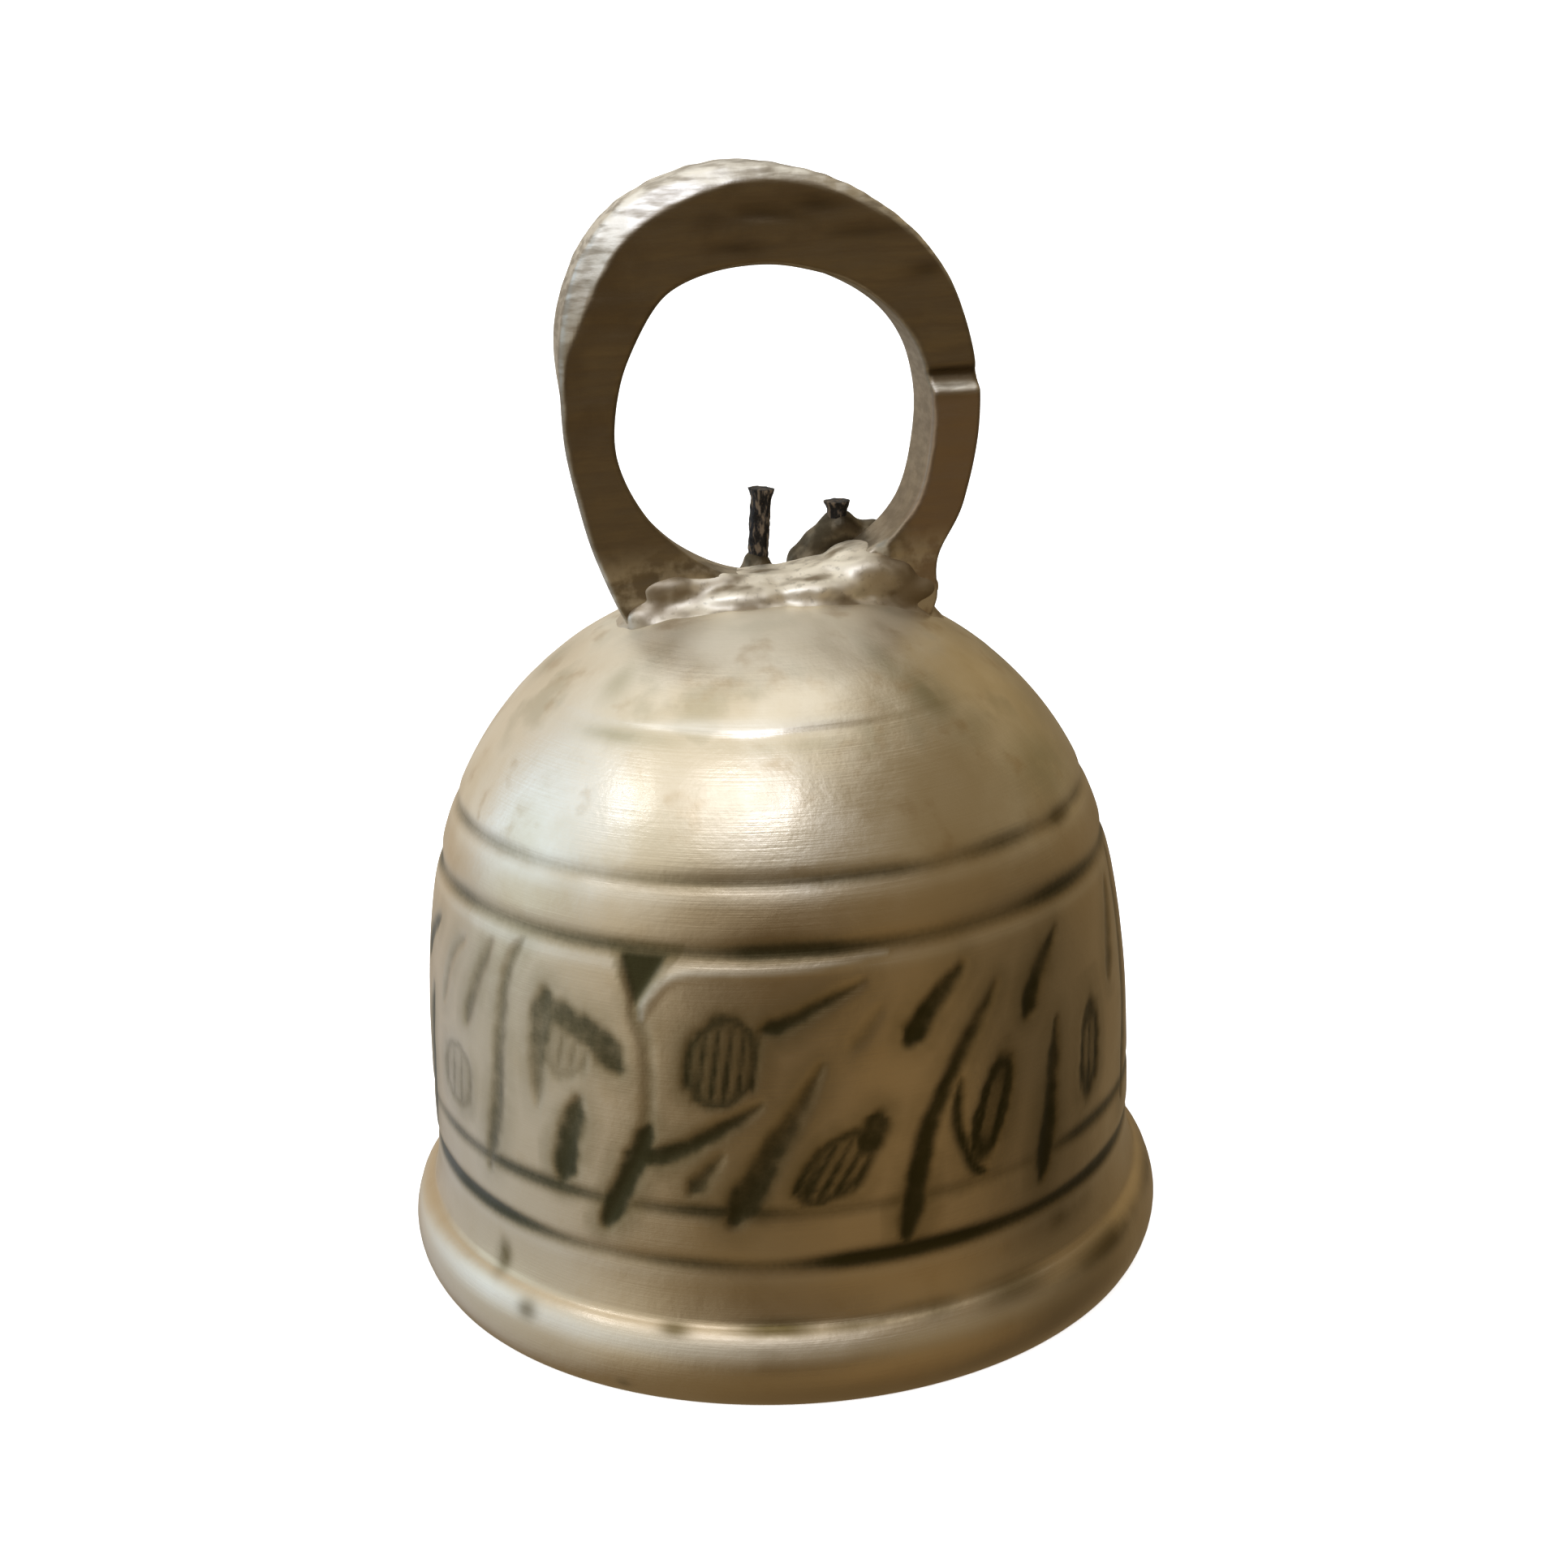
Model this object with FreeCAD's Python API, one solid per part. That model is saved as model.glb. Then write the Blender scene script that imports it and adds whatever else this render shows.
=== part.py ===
"""Small brass hand bell with a finger loop, an iron staple and a free clapper.

Units are millimetres.  The origin is the middle of the lip's underside and +Z is
up along the bell's axis.  The finger loop lies in the XZ plane; -Y is the front.
"""
import FreeCAD, Part
import math
import os

Vec = FreeCAD.Vector
UP = Vec(0, 0, 1)
ALONG_X = Vec(1, 0, 0)
ALONG_Y = Vec(0, 1, 0)

# ---- bell shell -------------------------------------------------------------
LIP_RADIUS = 30.0
LIP_FOOT_RADIUS = 29.2      # the lip tucks in a little where it stands
LIP_WALL = 2.6              # thickness of the face that the bell stands on
LIP_BAND_TOP = 4.3
LIP_SHOULDER_RADIUS = 29.7
CREASE_Z = 5.9              # turned crease between the neck and the lip bead
CREASE_RADIUS = 28.4
SHOULDER_BULGE = (29.3, 5.35)   # radius and height half way round the lip's shoulder
NECK_Z = 9.2                # where the plain body starts to flare to the lip
NECK_SWEEP = (28.0, 7.4)    # radius and height half way down the neck's hollow
BODY_RADIUS = 27.8
BODY_BASE_Z = 5.0           # the crown's curve springs from this height
CROWN_HEIGHT = 47.9         # height of the full outer curve above the base
CURVE_POWER_Z = 3.77        # how long the body stays upright
CURVE_POWER_R = 1.87        # how round the crown is
SEAT_Z = 51.4               # flat seat filed on the crown for the loop
INNER_RADIUS = 25.4
INNER_HEIGHT = 44.9
ROOF_Z = 48.4               # flat roof inside the crown
INNER_FLARE_Z = 3.0
GROOVE_HEIGHTS = (10.6, 14.4, 33.0, 37.5)
GROOVE_HALF_WIDTH = 0.5
GROOVE_DEPTH = 0.35

# ---- finger loop ------------------------------------------------------------
LOOP_FRONT = -2.4
LOOP_BACK = 2.6
PAD_FRONT = -3.1            # the lower right limb was left thicker
PAD_TOP = 67.0
PAD_SLOPE = 1.0
PAD_ROOT = 1.0              # how far the pad's solid reaches into the loop
PAD_LEFT = 9.0
PAD_WIDTH = 12.0
LOOP_ROUNDING = 0.5
LOOP_FOOT_Z = 47.0          # below the crown's surface, trimmed off by it
# Hand-filed outlines in the XZ plane, from the left foot over the top.
LOOP_OUTER = [
    (-10.6, 50.6), (-13.2, 57.3), (-14.6, 66.0), (-13.5, 75.3), (-8.6, 81.3), (-0.5, 83.5),
    (8.2, 81.0), (14.3, 75.1), (16.6, 66.5), (15.2, 58.4), (13.1, 54.0), (12.9, 50.6),
]
LOOP_HOLE = [
    (0.6, 76.3), (-6.1, 74.8), (-9.6, 69.9), (-10.8, 64.2), (-9.1, 59.3), (-5.4, 55.3),
    (-0.6, 53.4), (6.0, 54.1), (11.0, 57.9), (12.7, 64.0), (11.9, 69.9), (7.8, 74.2),
]

# ---- brazing and solder -----------------------------------------------------
SEAM_X = 1.15
SEAM_BASE_Z = 48.0
SEAM_BASE = (12.8, 5.2)     # half length and half width at the foot of the seam
SEAM_TOP_Z = 53.2
SEAM_TOP = (12.1, 3.3)
SEAM_CORNER = 2.0
LUMP_CENTRE = Vec(8.0, 4.3, 50.6)
LUMP_RADII = (5.0, 2.9, 5.0)
COLLAR_RADIUS = 1.9         # small cone of solder round the left leg
COLLAR_TOP_Z = 54.3

# ---- staple, link and clapper -----------------------------------------------
WIRE_RADIUS = 0.8
LEG_Y = 3.5
LEFT_LEG_X = 0.4
LEFT_LEG_LEAN = 0.6         # the left leg leans over by this much at its top
RIGHT_LEG_X = 6.9
LEFT_LEG_TOP = 59.2
RIGHT_LEG_TOP = 57.8
LEAN_START_Z = 52.6
LEG_DRILL_RADIUS = 0.9
HEAD_RADIUS = 1.05          # hammered ends of the legs
HEAD_HEIGHT = 0.7
BIGHT_X = 1.2               # the staple is bent so that the clapper hangs near the axis
BIGHT_Y = 1.2
BIGHT_Z = 41.0
BIGHT_HALF = 2.6
BIGHT_BEND = 2.4
LEAN_BEND = 11.2
LEG_BEND = 1.4
KNEE_BEND = 0.84
LEG_KNEE_Z = 46.6
BIGHT_KNEE_Z = 44.2

RUNNING_GAP = 0.05
LINK_WIRE = 0.75
LINK_RADIUS = 2.6
LINK_SPLIT = 0.25
ROD_RADIUS = 0.9
EYE_RADIUS = 2.5
EYE_SPLIT = 0.4
EYE_SPLIT_TURN = 50         # degrees below the horizontal, on the eye's right
BALL_RADIUS = 6.8
BALL_FLAT = 6.5             # from the ball's centre down to the flat under it
BALL_Z = 10.6
NECK_BASE_RADIUS = 3.2      # the ball's short neck round the rod
NECK_TOP_RADIUS = 2.4
NECK_BASE = 5.5             # heights above the ball's centre
NECK_TOP = 8.1
ROD_BORE_RADIUS = 0.95
PEEN_RADIUS = 1.7
PEEN_FOOT_RADIUS = 1.275
PEEN_HEIGHT = 0.8


def dome_point(turn, radius, height):
    """A point (radius, height) on the bell's curve; turn goes from 0 at the body to 90 degrees."""
    r = radius * math.cos(turn) ** (2 / CURVE_POWER_R)
    z = BODY_BASE_Z + height * math.sin(turn) ** (2 / CURVE_POWER_Z)
    return r, z


def turn_at_height(z, height):
    """The curve's turn where it reaches height z."""
    return math.asin(((z - BODY_BASE_Z) / height) ** (CURVE_POWER_Z / 2))


def dome_radius(z, radius=BODY_RADIUS, height=CROWN_HEIGHT):
    """The curve's radius at height z."""
    return dome_point(turn_at_height(z, height), radius, height)[0]


def dome_edge(radius, height, low_z, high_z, count=15):
    """The bell's curve from low_z up to high_z as one smooth edge in the XZ plane."""
    first = turn_at_height(low_z, height)
    last = turn_at_height(high_z, height)
    points = []
    for step in range(count):
        r, z = dome_point(first + (last - first) * step / (count - 1), radius, height)
        points.append(Vec(r, 0, z))
    curve = Part.BSplineCurve()
    curve.interpolate(points)
    return curve.toShape()


def line(start, end):
    """A straight edge between two (x, z) points of the XZ plane."""
    return Part.makeLine(Vec(start[0], 0, start[1]), Vec(end[0], 0, end[1]))


def arc(start, middle, end):
    """An arc through three (x, z) points of the XZ plane."""
    ends = [Vec(x, 0, z) for x, z in (start, middle, end)]
    return Part.Arc(*ends).toShape()


def revolve(edges):
    """A solid of revolution about the bell's axis from a closed outline."""
    face = Part.Face(Part.Wire(edges))
    solid = face.revolve(Vec(0, 0, 0), UP, 360)
    return solid if solid.Volume > 0 else solid.reversed()


def grooved_dome():
    """The bell's outer curve from the neck to the loop's seat, with a round groove at each height."""
    edges = []
    low = NECK_Z
    for z in GROOVE_HEIGHTS:
        under, over = z - GROOVE_HALF_WIDTH, z + GROOVE_HALF_WIDTH
        edges.append(dome_edge(BODY_RADIUS, CROWN_HEIGHT, low, under))
        bottom = (dome_radius(z) - GROOVE_DEPTH, z)
        edges.append(arc((dome_radius(under), under), bottom, (dome_radius(over), over)))
        low = over
    edges.append(dome_edge(BODY_RADIUS, CROWN_HEIGHT, low, SEAT_Z))
    return edges


def outer_outline(crown):
    """Edges of the bell's outside from the standing edge up to the axis, round the given crown."""
    neck = (dome_radius(NECK_Z), NECK_Z)
    crease = (CREASE_RADIUS, CREASE_Z)
    shoulder = (LIP_SHOULDER_RADIUS, LIP_BAND_TOP)
    foot = (LIP_FOOT_RADIUS, 0)
    seat = (dome_radius(SEAT_Z), SEAT_Z)
    return [
        arc(foot, (LIP_RADIUS, LIP_BAND_TOP / 2), shoulder),
        arc(shoulder, SHOULDER_BULGE, crease),
        arc(crease, NECK_SWEEP, neck),
    ] + crown + [line(seat, (0, SEAT_Z))]


def inner_outline():
    """Edges of the bell's inside, from the axis down to the standing edge."""
    roof = (dome_radius(ROOF_Z, INNER_RADIUS, INNER_HEIGHT), ROOF_Z)
    flare = (dome_radius(NECK_Z, INNER_RADIUS, INNER_HEIGHT), INNER_FLARE_Z)
    base = (flare[0], NECK_Z)
    mouth = (LIP_FOOT_RADIUS - LIP_WALL, 0)
    return [
        line((0, ROOF_Z), roof),
        dome_edge(INNER_RADIUS, INNER_HEIGHT, NECK_Z, ROOF_Z),
        line(base, flare),
        line(flare, mouth),
    ]


def make_body_envelope():
    """The bell's outside as a full solid, used to trim what sits on the crown."""
    edges = outer_outline([dome_edge(BODY_RADIUS, CROWN_HEIGHT, NECK_Z, SEAT_Z)])
    edges.append(line((0, SEAT_Z), (0, 0)))
    edges.append(line((0, 0), (LIP_FOOT_RADIUS, 0)))
    return revolve(edges)


def make_shell():
    """The cast and turned bell, with its turned grooves and the two staple holes."""
    mouth = (LIP_FOOT_RADIUS - LIP_WALL, 0)
    edges = outer_outline(grooved_dome())
    edges.append(line((0, SEAT_Z), (0, ROOF_Z)))
    edges += inner_outline()
    edges.append(line(mouth, (LIP_FOOT_RADIUS, 0)))
    shell = revolve(edges)
    crown = SEAT_Z - ROOF_Z
    for x in (LEFT_LEG_X, RIGHT_LEG_X):
        drill = Part.makeCylinder(LEG_DRILL_RADIUS, 3 * crown, Vec(x, LEG_Y, ROOF_Z - crown), UP)
        shell = shell.cut(drill)
    return shell


def extrude_outline(wire, front, back):
    """A plate with the given outline between two Y positions."""
    face = Part.Face(wire)
    face.translate(Vec(0, front, 0))
    return face.extrude(Vec(0, back - front, 0))


def loop_outer_wire():
    """The loop's outside, closed across its foot."""
    curve = Part.BSplineCurve()
    curve.interpolate([Vec(x, 0, z) for x, z in LOOP_OUTER])
    left, right = LOOP_OUTER[0], LOOP_OUTER[-1]
    low_left, low_right = (left[0], LOOP_FOOT_Z), (right[0], LOOP_FOOT_Z)
    foot = [line(right, low_right), line(low_right, low_left), line(low_left, left)]
    return Part.Wire([curve.toShape()] + foot)


def loop_hole_wire():
    """The finger hole's outline."""
    curve = Part.BSplineCurve()
    curve.interpolate(Points=[Vec(x, 0, z) for x, z in LOOP_HOLE], PeriodicFlag=True)
    return Part.Wire([curve.toShape()])


def round_rims(plate):
    """Take the sharp corners off the rims of the loop's front and back faces."""
    rims = []
    for edge in plate.Edges:
        box = edge.BoundBox
        flat = box.YLength < LOOP_ROUNDING / 10
        if flat and box.ZMax > PAD_TOP:
            rims.append(edge)
    return plate.makeFillet(LOOP_ROUNDING, rims)


def pad_region():
    """The space that holds the thicker lower right limb, with a sloping ledge on top."""
    front, back, low = 2 * PAD_FRONT, 0, LOOP_FOOT_Z
    ledge_z = PAD_TOP - PAD_SLOPE * (LOOP_FRONT - front) / (LOOP_FRONT - PAD_FRONT)
    corners = [(front, low), (front, ledge_z), (LOOP_FRONT, PAD_TOP), (back, PAD_TOP), (back, low)]
    corners.append(corners[0])
    side = Part.makePolygon([Vec(PAD_LEFT, y, z) for y, z in corners])
    return Part.Face(side).extrude(Vec(PAD_WIDTH, 0, 0))


def make_loop(envelope):
    """The cast finger loop, saddled on the crown, with its thicker lower right limb."""
    outer = loop_outer_wire()
    hole = loop_hole_wire()
    finger = extrude_outline(hole, 2 * PAD_FRONT, 2 * LOOP_BACK)
    plate = round_rims(extrude_outline(outer, LOOP_FRONT, LOOP_BACK).cut(finger))
    pad = extrude_outline(outer, PAD_FRONT, LOOP_FRONT + PAD_ROOT).cut(finger)
    pad = pad.common(pad_region())
    return plate.fuse(pad).cut(envelope)


def round_cornered(half_length, half_width, z):
    """A closed rectangle with round corners at height z, centred on the loop's foot."""
    plate = Part.makeBox(2 * half_length, 2 * half_width, 1, Vec(SEAM_X - half_length, -half_width, z))
    uprights = [edge for edge in plate.Edges if edge.BoundBox.ZLength > 0.5]
    rounded = plate.makeFillet(SEAM_CORNER, uprights)
    return min(rounded.Faces, key=lambda face: face.CenterOfMass.z).OuterWire


def make_seam(envelope, loop, staple):
    """The brass brazing that runs round the loop's foot."""
    base = round_cornered(*SEAM_BASE, SEAM_BASE_Z)
    top = round_cornered(*SEAM_TOP, SEAM_TOP_Z)
    block = Part.makeLoft([base, top], True, True)
    hole = extrude_outline(loop_hole_wire(), -2 * SEAM_BASE[1], 2 * SEAM_BASE[1])
    return block.cut(hole).cut(envelope).cut(loop).cut(staple)


def make_solder(envelope, loop, seam, staple):
    """The dark solder behind the loop that fixes the staple's legs: a lump and a small cone."""
    ball = Part.makeSphere(1)
    stretch = FreeCAD.Matrix()
    stretch.scale(Vec(*LUMP_RADII))
    lump = ball.transformGeometry(stretch)
    lump.translate(LUMP_CENTRE)
    root = Vec(LEFT_LEG_X, LEG_Y, ROOF_Z)
    cone = Part.makeCone(COLLAR_RADIUS, LEG_DRILL_RADIUS, COLLAR_TOP_Z - ROOF_Z, root, UP)
    solids = []
    for piece in (lump, cone):
        for cutter in (envelope, loop, seam, staple):
            piece = piece.cut(cutter)
        solids.append(max(piece.Solids, key=lambda solid: solid.Volume))
    return Part.makeCompound(solids)


def bent_wire(points, radius, bends):
    """A round wire along straight runs joined by tangent arcs, one bend radius per inner point."""
    edges = []
    start = points[0]
    for index in range(1, len(points) - 1):
        corner = points[index]
        into = (corner - points[index - 1]).normalize()
        out = (points[index + 1] - corner).normalize()
        turn = into.getAngle(out)
        bend = bends[index - 1]
        reach = bend * math.tan(turn / 2)
        arc_start = corner - into * reach
        arc_end = corner + out * reach
        centre_side = (out - into).normalize()
        centre = corner + centre_side * (bend / math.cos(turn / 2))
        middle = centre - centre_side * bend
        if (arc_start - start).Length > 1e-4:
            edges.append(Part.makeLine(start, arc_start))
        edges.append(Part.Arc(arc_start, middle, arc_end).toShape())
        start = arc_end
    edges.append(Part.makeLine(start, points[-1]))
    path = Part.Wire(edges)
    section = Part.Wire([Part.makeCircle(radius, points[0], (points[1] - points[0]).normalize())])
    return path.makePipeShell([section], True, True)


def make_staple():
    """One iron wire: its bight holds the clapper and its two legs pass up through the crown."""
    left_top = Vec(LEFT_LEG_X + LEFT_LEG_LEAN, LEG_Y, LEFT_LEG_TOP)
    left_base = Vec(LEFT_LEG_X, LEG_Y, LEAN_START_Z)
    right_top = Vec(RIGHT_LEG_X, LEG_Y, RIGHT_LEG_TOP)
    points = [
        left_top,
        left_base,
        Vec(LEFT_LEG_X, LEG_Y, LEG_KNEE_Z),
        Vec(BIGHT_X - BIGHT_HALF, BIGHT_Y, BIGHT_KNEE_Z),
        Vec(BIGHT_X - BIGHT_HALF, BIGHT_Y, BIGHT_Z),
        Vec(BIGHT_X + BIGHT_HALF, BIGHT_Y, BIGHT_Z),
        Vec(BIGHT_X + BIGHT_HALF, BIGHT_Y, BIGHT_KNEE_Z),
        Vec(RIGHT_LEG_X, LEG_Y, LEG_KNEE_Z),
        right_top,
    ]
    bends = [LEAN_BEND, LEG_BEND, KNEE_BEND, BIGHT_BEND, BIGHT_BEND, KNEE_BEND, LEG_BEND]
    staple = bent_wire(points, WIRE_RADIUS, bends)
    for top, along in ((left_top, (left_top - left_base).normalize()), (right_top, UP)):
        head = Part.makeCone(WIRE_RADIUS, HEAD_RADIUS, HEAD_HEIGHT, top - along * HEAD_HEIGHT, along)
        staple = staple.fuse(head)
    return staple.removeSplitter()


# The link rests on the bight, and the clapper's eye rests in the link.
LINK_Z = BIGHT_Z + WIRE_RADIUS + RUNNING_GAP + LINK_WIRE - LINK_RADIUS
LINK_LOW_Z = LINK_Z - LINK_RADIUS
EYE_Z = LINK_LOW_Z + LINK_WIRE + RUNNING_GAP + ROD_RADIUS - EYE_RADIUS


def make_link():
    """The iron wire ring between the staple and the clapper, butted shut at its side."""
    ring = Part.makeTorus(LINK_RADIUS, LINK_WIRE, Vec(BIGHT_X, BIGHT_Y, LINK_Z), ALONG_X)
    width = 4 * LINK_WIRE
    beside = Vec(BIGHT_X - width / 2, BIGHT_Y + LINK_RADIUS - width / 2, LINK_Z - LINK_SPLIT / 2)
    split = Part.makeBox(width, width, LINK_SPLIT, beside)
    return ring.cut(split)


def make_rod():
    """The clapper's iron rod, with its bent eye at the top and its hammered end below."""
    eye_centre = Vec(BIGHT_X, BIGHT_Y, EYE_Z)
    eye = Part.makeTorus(EYE_RADIUS, ROD_RADIUS, eye_centre, ALONG_Y)
    reach = EYE_RADIUS + 2 * ROD_RADIUS
    gap = Part.makeBox(reach, 4 * ROD_RADIUS, EYE_SPLIT, Vec(0, -2 * ROD_RADIUS, -EYE_SPLIT / 2))
    gap.rotate(Vec(0, 0, 0), ALONG_Y, EYE_SPLIT_TURN)
    gap.translate(eye_centre)
    eye = eye.cut(gap)
    low = BALL_Z - BALL_FLAT - PEEN_HEIGHT
    foot = Vec(BIGHT_X, BIGHT_Y, low)
    shank = Part.makeCylinder(ROD_RADIUS, EYE_Z - EYE_RADIUS - low, foot, UP)
    peen = Part.makeCone(PEEN_FOOT_RADIUS, PEEN_RADIUS, PEEN_HEIGHT, foot, UP)
    return eye.fuse(shank).fuse(peen).removeSplitter()


def make_ball():
    """The cast bob on the rod's lower end, bored right through and flat where the rod is peened."""
    centre = Vec(BIGHT_X, BIGHT_Y, BALL_Z)
    width = 2 * BALL_RADIUS
    ball = Part.makeSphere(BALL_RADIUS, centre)
    below = Part.makeBox(width, width, width, centre - Vec(BALL_RADIUS, BALL_RADIUS, BALL_FLAT + width))
    ball = ball.cut(below)
    neck = Part.makeCone(NECK_BASE_RADIUS, NECK_TOP_RADIUS, NECK_TOP - NECK_BASE, centre + UP * NECK_BASE, UP)
    bore = Part.makeCylinder(ROD_BORE_RADIUS, 2 * width, centre - UP * width, UP)
    return ball.fuse(neck).cut(bore)


def main():
    """Build every piece and write one STEP file for each."""
    os.makedirs("parts", exist_ok=True)
    envelope = make_body_envelope()
    staple = make_staple()
    loop = make_loop(envelope)
    seam = make_seam(envelope, loop, staple)
    pieces = {
        "bell_shell": make_shell(),
        "loop_handle": loop,
        "braze_seam": seam,
        "leg_solder": make_solder(envelope, loop, seam, staple),
        "clapper_staple": staple,
        "clapper_link": make_link(),
        "clapper_rod": make_rod(),
        "clapper_ball": make_ball(),
    }
    for name, shape in pieces.items():
        shape.exportStep("parts/" + name + ".step")
        print(f"{name}: {len(shape.Solids)} solids, valid {shape.isValid()}, {shape.Volume:.1f} mm3")


main()
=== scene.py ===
"""The looks of a small engraved brass hand bell, built round its CAD frame.

Shapes are worked out in millimetres in the CAD frame and written as metres.  On the
bell's wall a place is given by its turn in degrees, from the front (-Y) towards +X,
and by its height.
"""
import math

import bpy
import numpy as np
from mathutils import Matrix, Vector, noise


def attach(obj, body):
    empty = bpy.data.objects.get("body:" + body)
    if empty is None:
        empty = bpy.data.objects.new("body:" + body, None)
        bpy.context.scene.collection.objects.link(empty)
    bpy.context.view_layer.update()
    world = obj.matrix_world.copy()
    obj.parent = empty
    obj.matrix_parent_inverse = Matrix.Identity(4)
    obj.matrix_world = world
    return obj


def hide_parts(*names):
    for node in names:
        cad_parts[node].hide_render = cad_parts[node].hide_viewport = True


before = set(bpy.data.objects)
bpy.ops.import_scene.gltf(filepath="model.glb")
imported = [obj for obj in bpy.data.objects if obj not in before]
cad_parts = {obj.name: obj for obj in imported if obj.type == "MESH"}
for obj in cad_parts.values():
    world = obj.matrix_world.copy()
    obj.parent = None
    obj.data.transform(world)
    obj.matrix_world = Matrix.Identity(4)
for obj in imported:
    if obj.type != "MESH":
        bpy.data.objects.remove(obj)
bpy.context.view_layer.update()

MM = 0.001
TAU = 2 * math.pi

# ---- camera -----------------------------------------------------------------
CAMERA_PLACE = (-0.03419, -0.16084, 0.09083)
CAMERA_AIM = (0.00108, -0.00024, 0.03657)
CAMERA_ROLL = 2.15          # degrees; the bell leans a little to the left in the view
CAMERA_LENS = 51.05
CAMERA_SENSOR = 36.0

# ---- bell shell, as in the CAD ----------------------------------------------
LIP_RADIUS = 30.0
LIP_FOOT_RADIUS = 29.2
LIP_WALL = 2.6
LIP_BAND_TOP = 4.3
LIP_SHOULDER_RADIUS = 29.7
CREASE_Z = 5.9
CREASE_RADIUS = 28.4
NECK_Z = 9.2
BODY_RADIUS = 27.8
BODY_BASE_Z = 5.0
CROWN_HEIGHT = 47.9
CURVE_POWER_Z = 3.77
CURVE_POWER_R = 1.87
INNER_RADIUS = 25.4
INNER_HEIGHT = 44.9
ROOF_Z = 48.4
INNER_FLARE_Z = 3.0

# ---- shell mesh -------------------------------------------------------------
COLUMNS = 600               # round the outside
INNER_COLUMNS = 150         # round the inside, a quarter as many
EDGE_ROUNDING = 0.25        # the worn corners of the standing edge
FRIEZE_LOW = 11.6
FRIEZE_HIGH = 38.6
FRIEZE_PITCH = 0.34         # mesh rows this far apart where the wall is engraved
CROWN_ROWS = 38
CAP_START_Z = 50.9          # above this the crown flattens under the brazing
CAP_TOP_Z = 51.8
CAP_POWER = 4.4

# Turned grooves: height, depth, half width, how dark the filling is, bevel below.
GROOVES = [
    (37.5, 0.14, 0.50, 0.57, 0.05),
    (33.1, 0.16, 0.66, 0.74, 0.07),
    (14.5, 0.08, 0.60, 0.68, 0.0),
    (10.4, 0.14, 0.62, 0.86, 0.03),
]
CROWN_LINE_Z = 46.3         # a shallow turned step on the crown
CROWN_LINE_RISE = 0.13
CROWN_LINE_HALF = 0.2       # the step's half width
CROWN_LINE_TURN = -16       # where the step is sharpest
WALL_WAVES = 0.10           # how far the hand-worked wall wanders, in long waves
WALL_RIPPLES = 0.03         # and in short ones
INNER_DENTS = 0.12
# the lip's shoulder is rubbed and carries a painted highlight, brightest at this height
LIP_RUBBED_AND_LIT_Z = 4.6          # the brightest ring of the lip's shoulder

# ---- engraving --------------------------------------------------------------
MM_PER_DEGREE = 27.5 * math.pi / 180
EDGE_BAND = 1.35            # the filling fades out over this width, in millimetres
SMUDGE_BAND = 2.2           # a faint brown haze round each figure reaches this far out
GROOVE_SPREAD = 1.30        # a groove's filling fades out over this many half widths
BOLDNESS = 1.25             # every stroke's width is scaled by this
THIN_FADE = 0.55            # how much paler a stroke's filling gets where it narrows
STROKE_TIP = 0.16           # the share of a stroke over which each end tapers
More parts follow.
